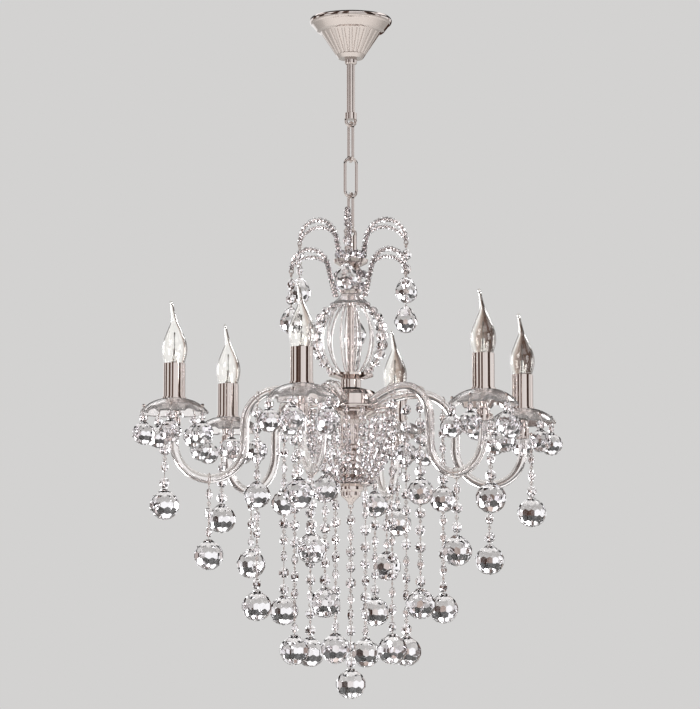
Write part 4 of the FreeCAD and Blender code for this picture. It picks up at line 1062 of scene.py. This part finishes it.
def studio_world(look):
    """Plain soft light, a pale backdrop, and the room of bright and dark panels that glass and metal show."""
    world = bpy.data.worlds.new("studio")
    bpy.context.scene.world = world
    world.use_nodes = True
    tree = world.node_tree
    tree.nodes.clear()
    direction = add_node(tree, "ShaderNodeTexCoord").outputs["Generated"]
    parts = add_node(tree, "ShaderNodeSeparateXYZ", {0: direction}).outputs
    height = add_node(tree, "ShaderNodeMapRange", {"Value": parts["Z"], "From Min": -1.0, "From Max": 1.0})
    # Bands by height: floor light, the pale backdrop, a dark gap, a ring of softboxes, and a dark ceiling.
    bands = ramp(tree, height.outputs["Result"], [
        (0.0, grey(0.30)), (0.40, grey(0.42)), (0.47, grey(0.66)), (0.60, grey(0.66)), (0.645, grey(0.06)),
        (0.74, grey(0.03)), (0.765, grey(1.0)), (0.86, grey(1.0)), (0.885, grey(0.04)), (1.0, grey(0.10)),
    ])
    turn = add_node(tree, "ShaderNodeMath", {0: parts["Y"], 1: parts["X"]}, operation="ARCTAN2").outputs[0]
    waves = []
    for rate, start in ((3.0, 0.4), (7.0, 2.0)):
        angle = add_node(tree, "ShaderNodeMath", {0: turn, 1: rate, 2: start}, operation="MULTIPLY_ADD")
        waves.append(add_node(tree, "ShaderNodeMath", {0: angle.outputs[0]}, operation="SINE").outputs[0])
    mixed = add_node(tree, "ShaderNodeMath", {0: waves[0], 1: waves[1]}, operation="ADD").outputs[0]
    strips = ramp(tree, add_node(tree, "ShaderNodeMapRange", {
        "Value": mixed, "From Min": -2.0, "From Max": 2.0,
    }).outputs["Result"], [
        (0.0, linear("2E211D")), (0.27, linear("5C453C")), (0.34, linear("C9B8AE")), (0.40, grey(1.05)),
        (0.76, grey(1.15)), (0.84, linear("9A857C")), (1.0, linear("4A3A34")),
    ])
    # Small coloured panels, whose light the crystals split and show as flashes.
    speckle = add_node(tree, "ShaderNodeTexNoise", {"Vector": direction, "Scale": 4.0, "Detail": 1.0})
    plain = grey(1.0)
    panels = ramp(tree, speckle.outputs["Fac"], [
        (0.0, plain), (0.36, plain), (0.375, linear("59C7CF")), (0.39, plain), (0.575, plain),
        (0.59, linear("5F86E6")), (0.605, plain), (0.65, plain), (0.665, linear("B08FE0")), (0.68, plain),
        (1.0, plain),
    ])
    tinted, room = (
        add_node(tree, "ShaderNodeMix", {0: 1.0, 6: bands, 7: colours}, data_type="RGBA",
                 blend_type="MULTIPLY").outputs[2] for colours in (panels, strips))
    rays = add_node(tree, "ShaderNodeLightPath").outputs
    # The light on the object, and what glass, metal and the camera see.
    levels = [(linear("F1F0EE"), 0.62), (tinted, 1.15), (room, 1.4), (look.backdrop, 1.0)]
    shades = [add_node(tree, "ShaderNodeBackground", {"Color": colour, "Strength": strength}).outputs[0]
              for colour, strength in levels]
    seen = shades[0]
    for ray, shade in zip(("Is Transmission Ray", "Is Glossy Ray", "Is Camera Ray"), shades[1:]):
        seen = add_node(tree, "ShaderNodeMixShader", {0: rays[ray], 1: seen, 2: shade}).outputs[0]
    add_node(tree, "ShaderNodeOutputWorld", {"Surface": seen})


class CHANDELIER_OT_stage(bpy.types.Operator):
    """Set up the floor, the soft light and the camera"""
    bl_idname = "chandelier.stage"
    bl_label = "Studio"

    def execute(self, context):
        look = context.scene.studio_look
        scene = context.scene
        scene.view_settings.view_transform = "Standard"
        reach = 14
        floor_mesh = bpy.data.meshes.new("studio_floor")
        corners = [(x * reach, y * reach, -look.floor_drop) for x, y in ((-1, -1), (1, -1), (1, 1), (-1, 1))]
        floor_mesh.from_pydata(corners, [], [(0, 1, 2, 3)])
        paint, tree, shader, place = new_material("matt_floor_paint", Base_Color=look.floor, Roughness=0.8)
        # Roller texture about 12 mm wide.
        stipple = add_node(tree, "ShaderNodeTexNoise", {"Vector": place, "Scale": 80.0, "Detail": 2.0})
        bumped(tree, shader, stipple.outputs["Fac"], 0.0005, 0.1)
        floor_mesh.materials.append(paint)
        floor = bpy.data.objects.new("studio_floor", floor_mesh)
        scene.collection.objects.link(floor)
        softbox("key_softbox", (-2.2, -2.6, 1.2), 1.6, 90)
        softbox("fill_softbox", (2.8, -2.0, 0.2), 1.4, 45)
        softbox("rim_softbox", (1.8, 2.6, 1.3), 1.2, 55)
        softbox("side_softbox", (-2.8, 1.6, 0.1), 1.2, 35)
        studio_world(look)
        lens = bpy.data.cameras.new("view")
        lens.sensor_width = 36
        lens.lens = look.lens
        camera = bpy.data.objects.new("view", lens)
        pitch = math.radians(7.2)
        away = 4.531
        aim = Vector((-0.001, 0, -0.4724))
        camera.location = aim - away * Vector((0, math.cos(pitch), math.sin(pitch)))
        camera.rotation_euler = (math.pi / 2 + pitch, 0, 0)
        scene.collection.objects.link(camera)
        scene.camera = camera
        return {"FINISHED"}


# ---------------------------------------------------------------- add-on

OPERATORS = (
    CHANDELIER_OT_stage, CHANDELIER_OT_metal, CHANDELIER_OT_strings, CHANDELIER_OT_dish_drops,
    CHANDELIER_OT_fronds, CHANDELIER_OT_cage, CHANDELIER_OT_column, CHANDELIER_OT_basket,
    CHANDELIER_OT_bulbs,
)
GROUPS = {
    "crystal_sizes": CrystalSizes, "beadwork_sizes": BeadworkSizes, "lamp_sizes": LampSizes,
    "studio_look": StudioLook,
}


class CHANDELIER_PT_panel(bpy.types.Panel):
    """Lists the pieces of the chandelier"""
    bl_idname = "CHANDELIER_PT_panel"
    bl_label = "Chandelier"
    bl_space_type = "VIEW_3D"
    bl_region_type = "UI"
    bl_category = "Chandelier"

    def draw(self, context):
        for name, group in GROUPS.items():
            box = self.layout.box()
            for size in group.__annotations__:
                box.prop(getattr(context.scene, name), size)
        for operator in OPERATORS:
            self.layout.operator(operator.bl_idname)


def register():
    """Register the classes and the scene's sizes."""
    for group in GROUPS.values():
        bpy.utils.register_class(group)
    for name, group in GROUPS.items():
        setattr(bpy.types.Scene, name, PointerProperty(type=group))
    for operator in OPERATORS:
        bpy.utils.register_class(operator)
    bpy.utils.register_class(CHANDELIER_PT_panel)


def unregister():
    """Take everything back."""
    bpy.utils.unregister_class(CHANDELIER_PT_panel)
    for operator in reversed(OPERATORS):
        bpy.utils.unregister_class(operator)
    for name, group in GROUPS.items():
        delattr(bpy.types.Scene, name)
        bpy.utils.unregister_class(group)


def main():
    """Make every piece."""
    register()
    for operator in OPERATORS:
        getattr(bpy.ops.chandelier, operator.bl_idname.split(".")[1])()


if __name__ == "__main__":
    main()
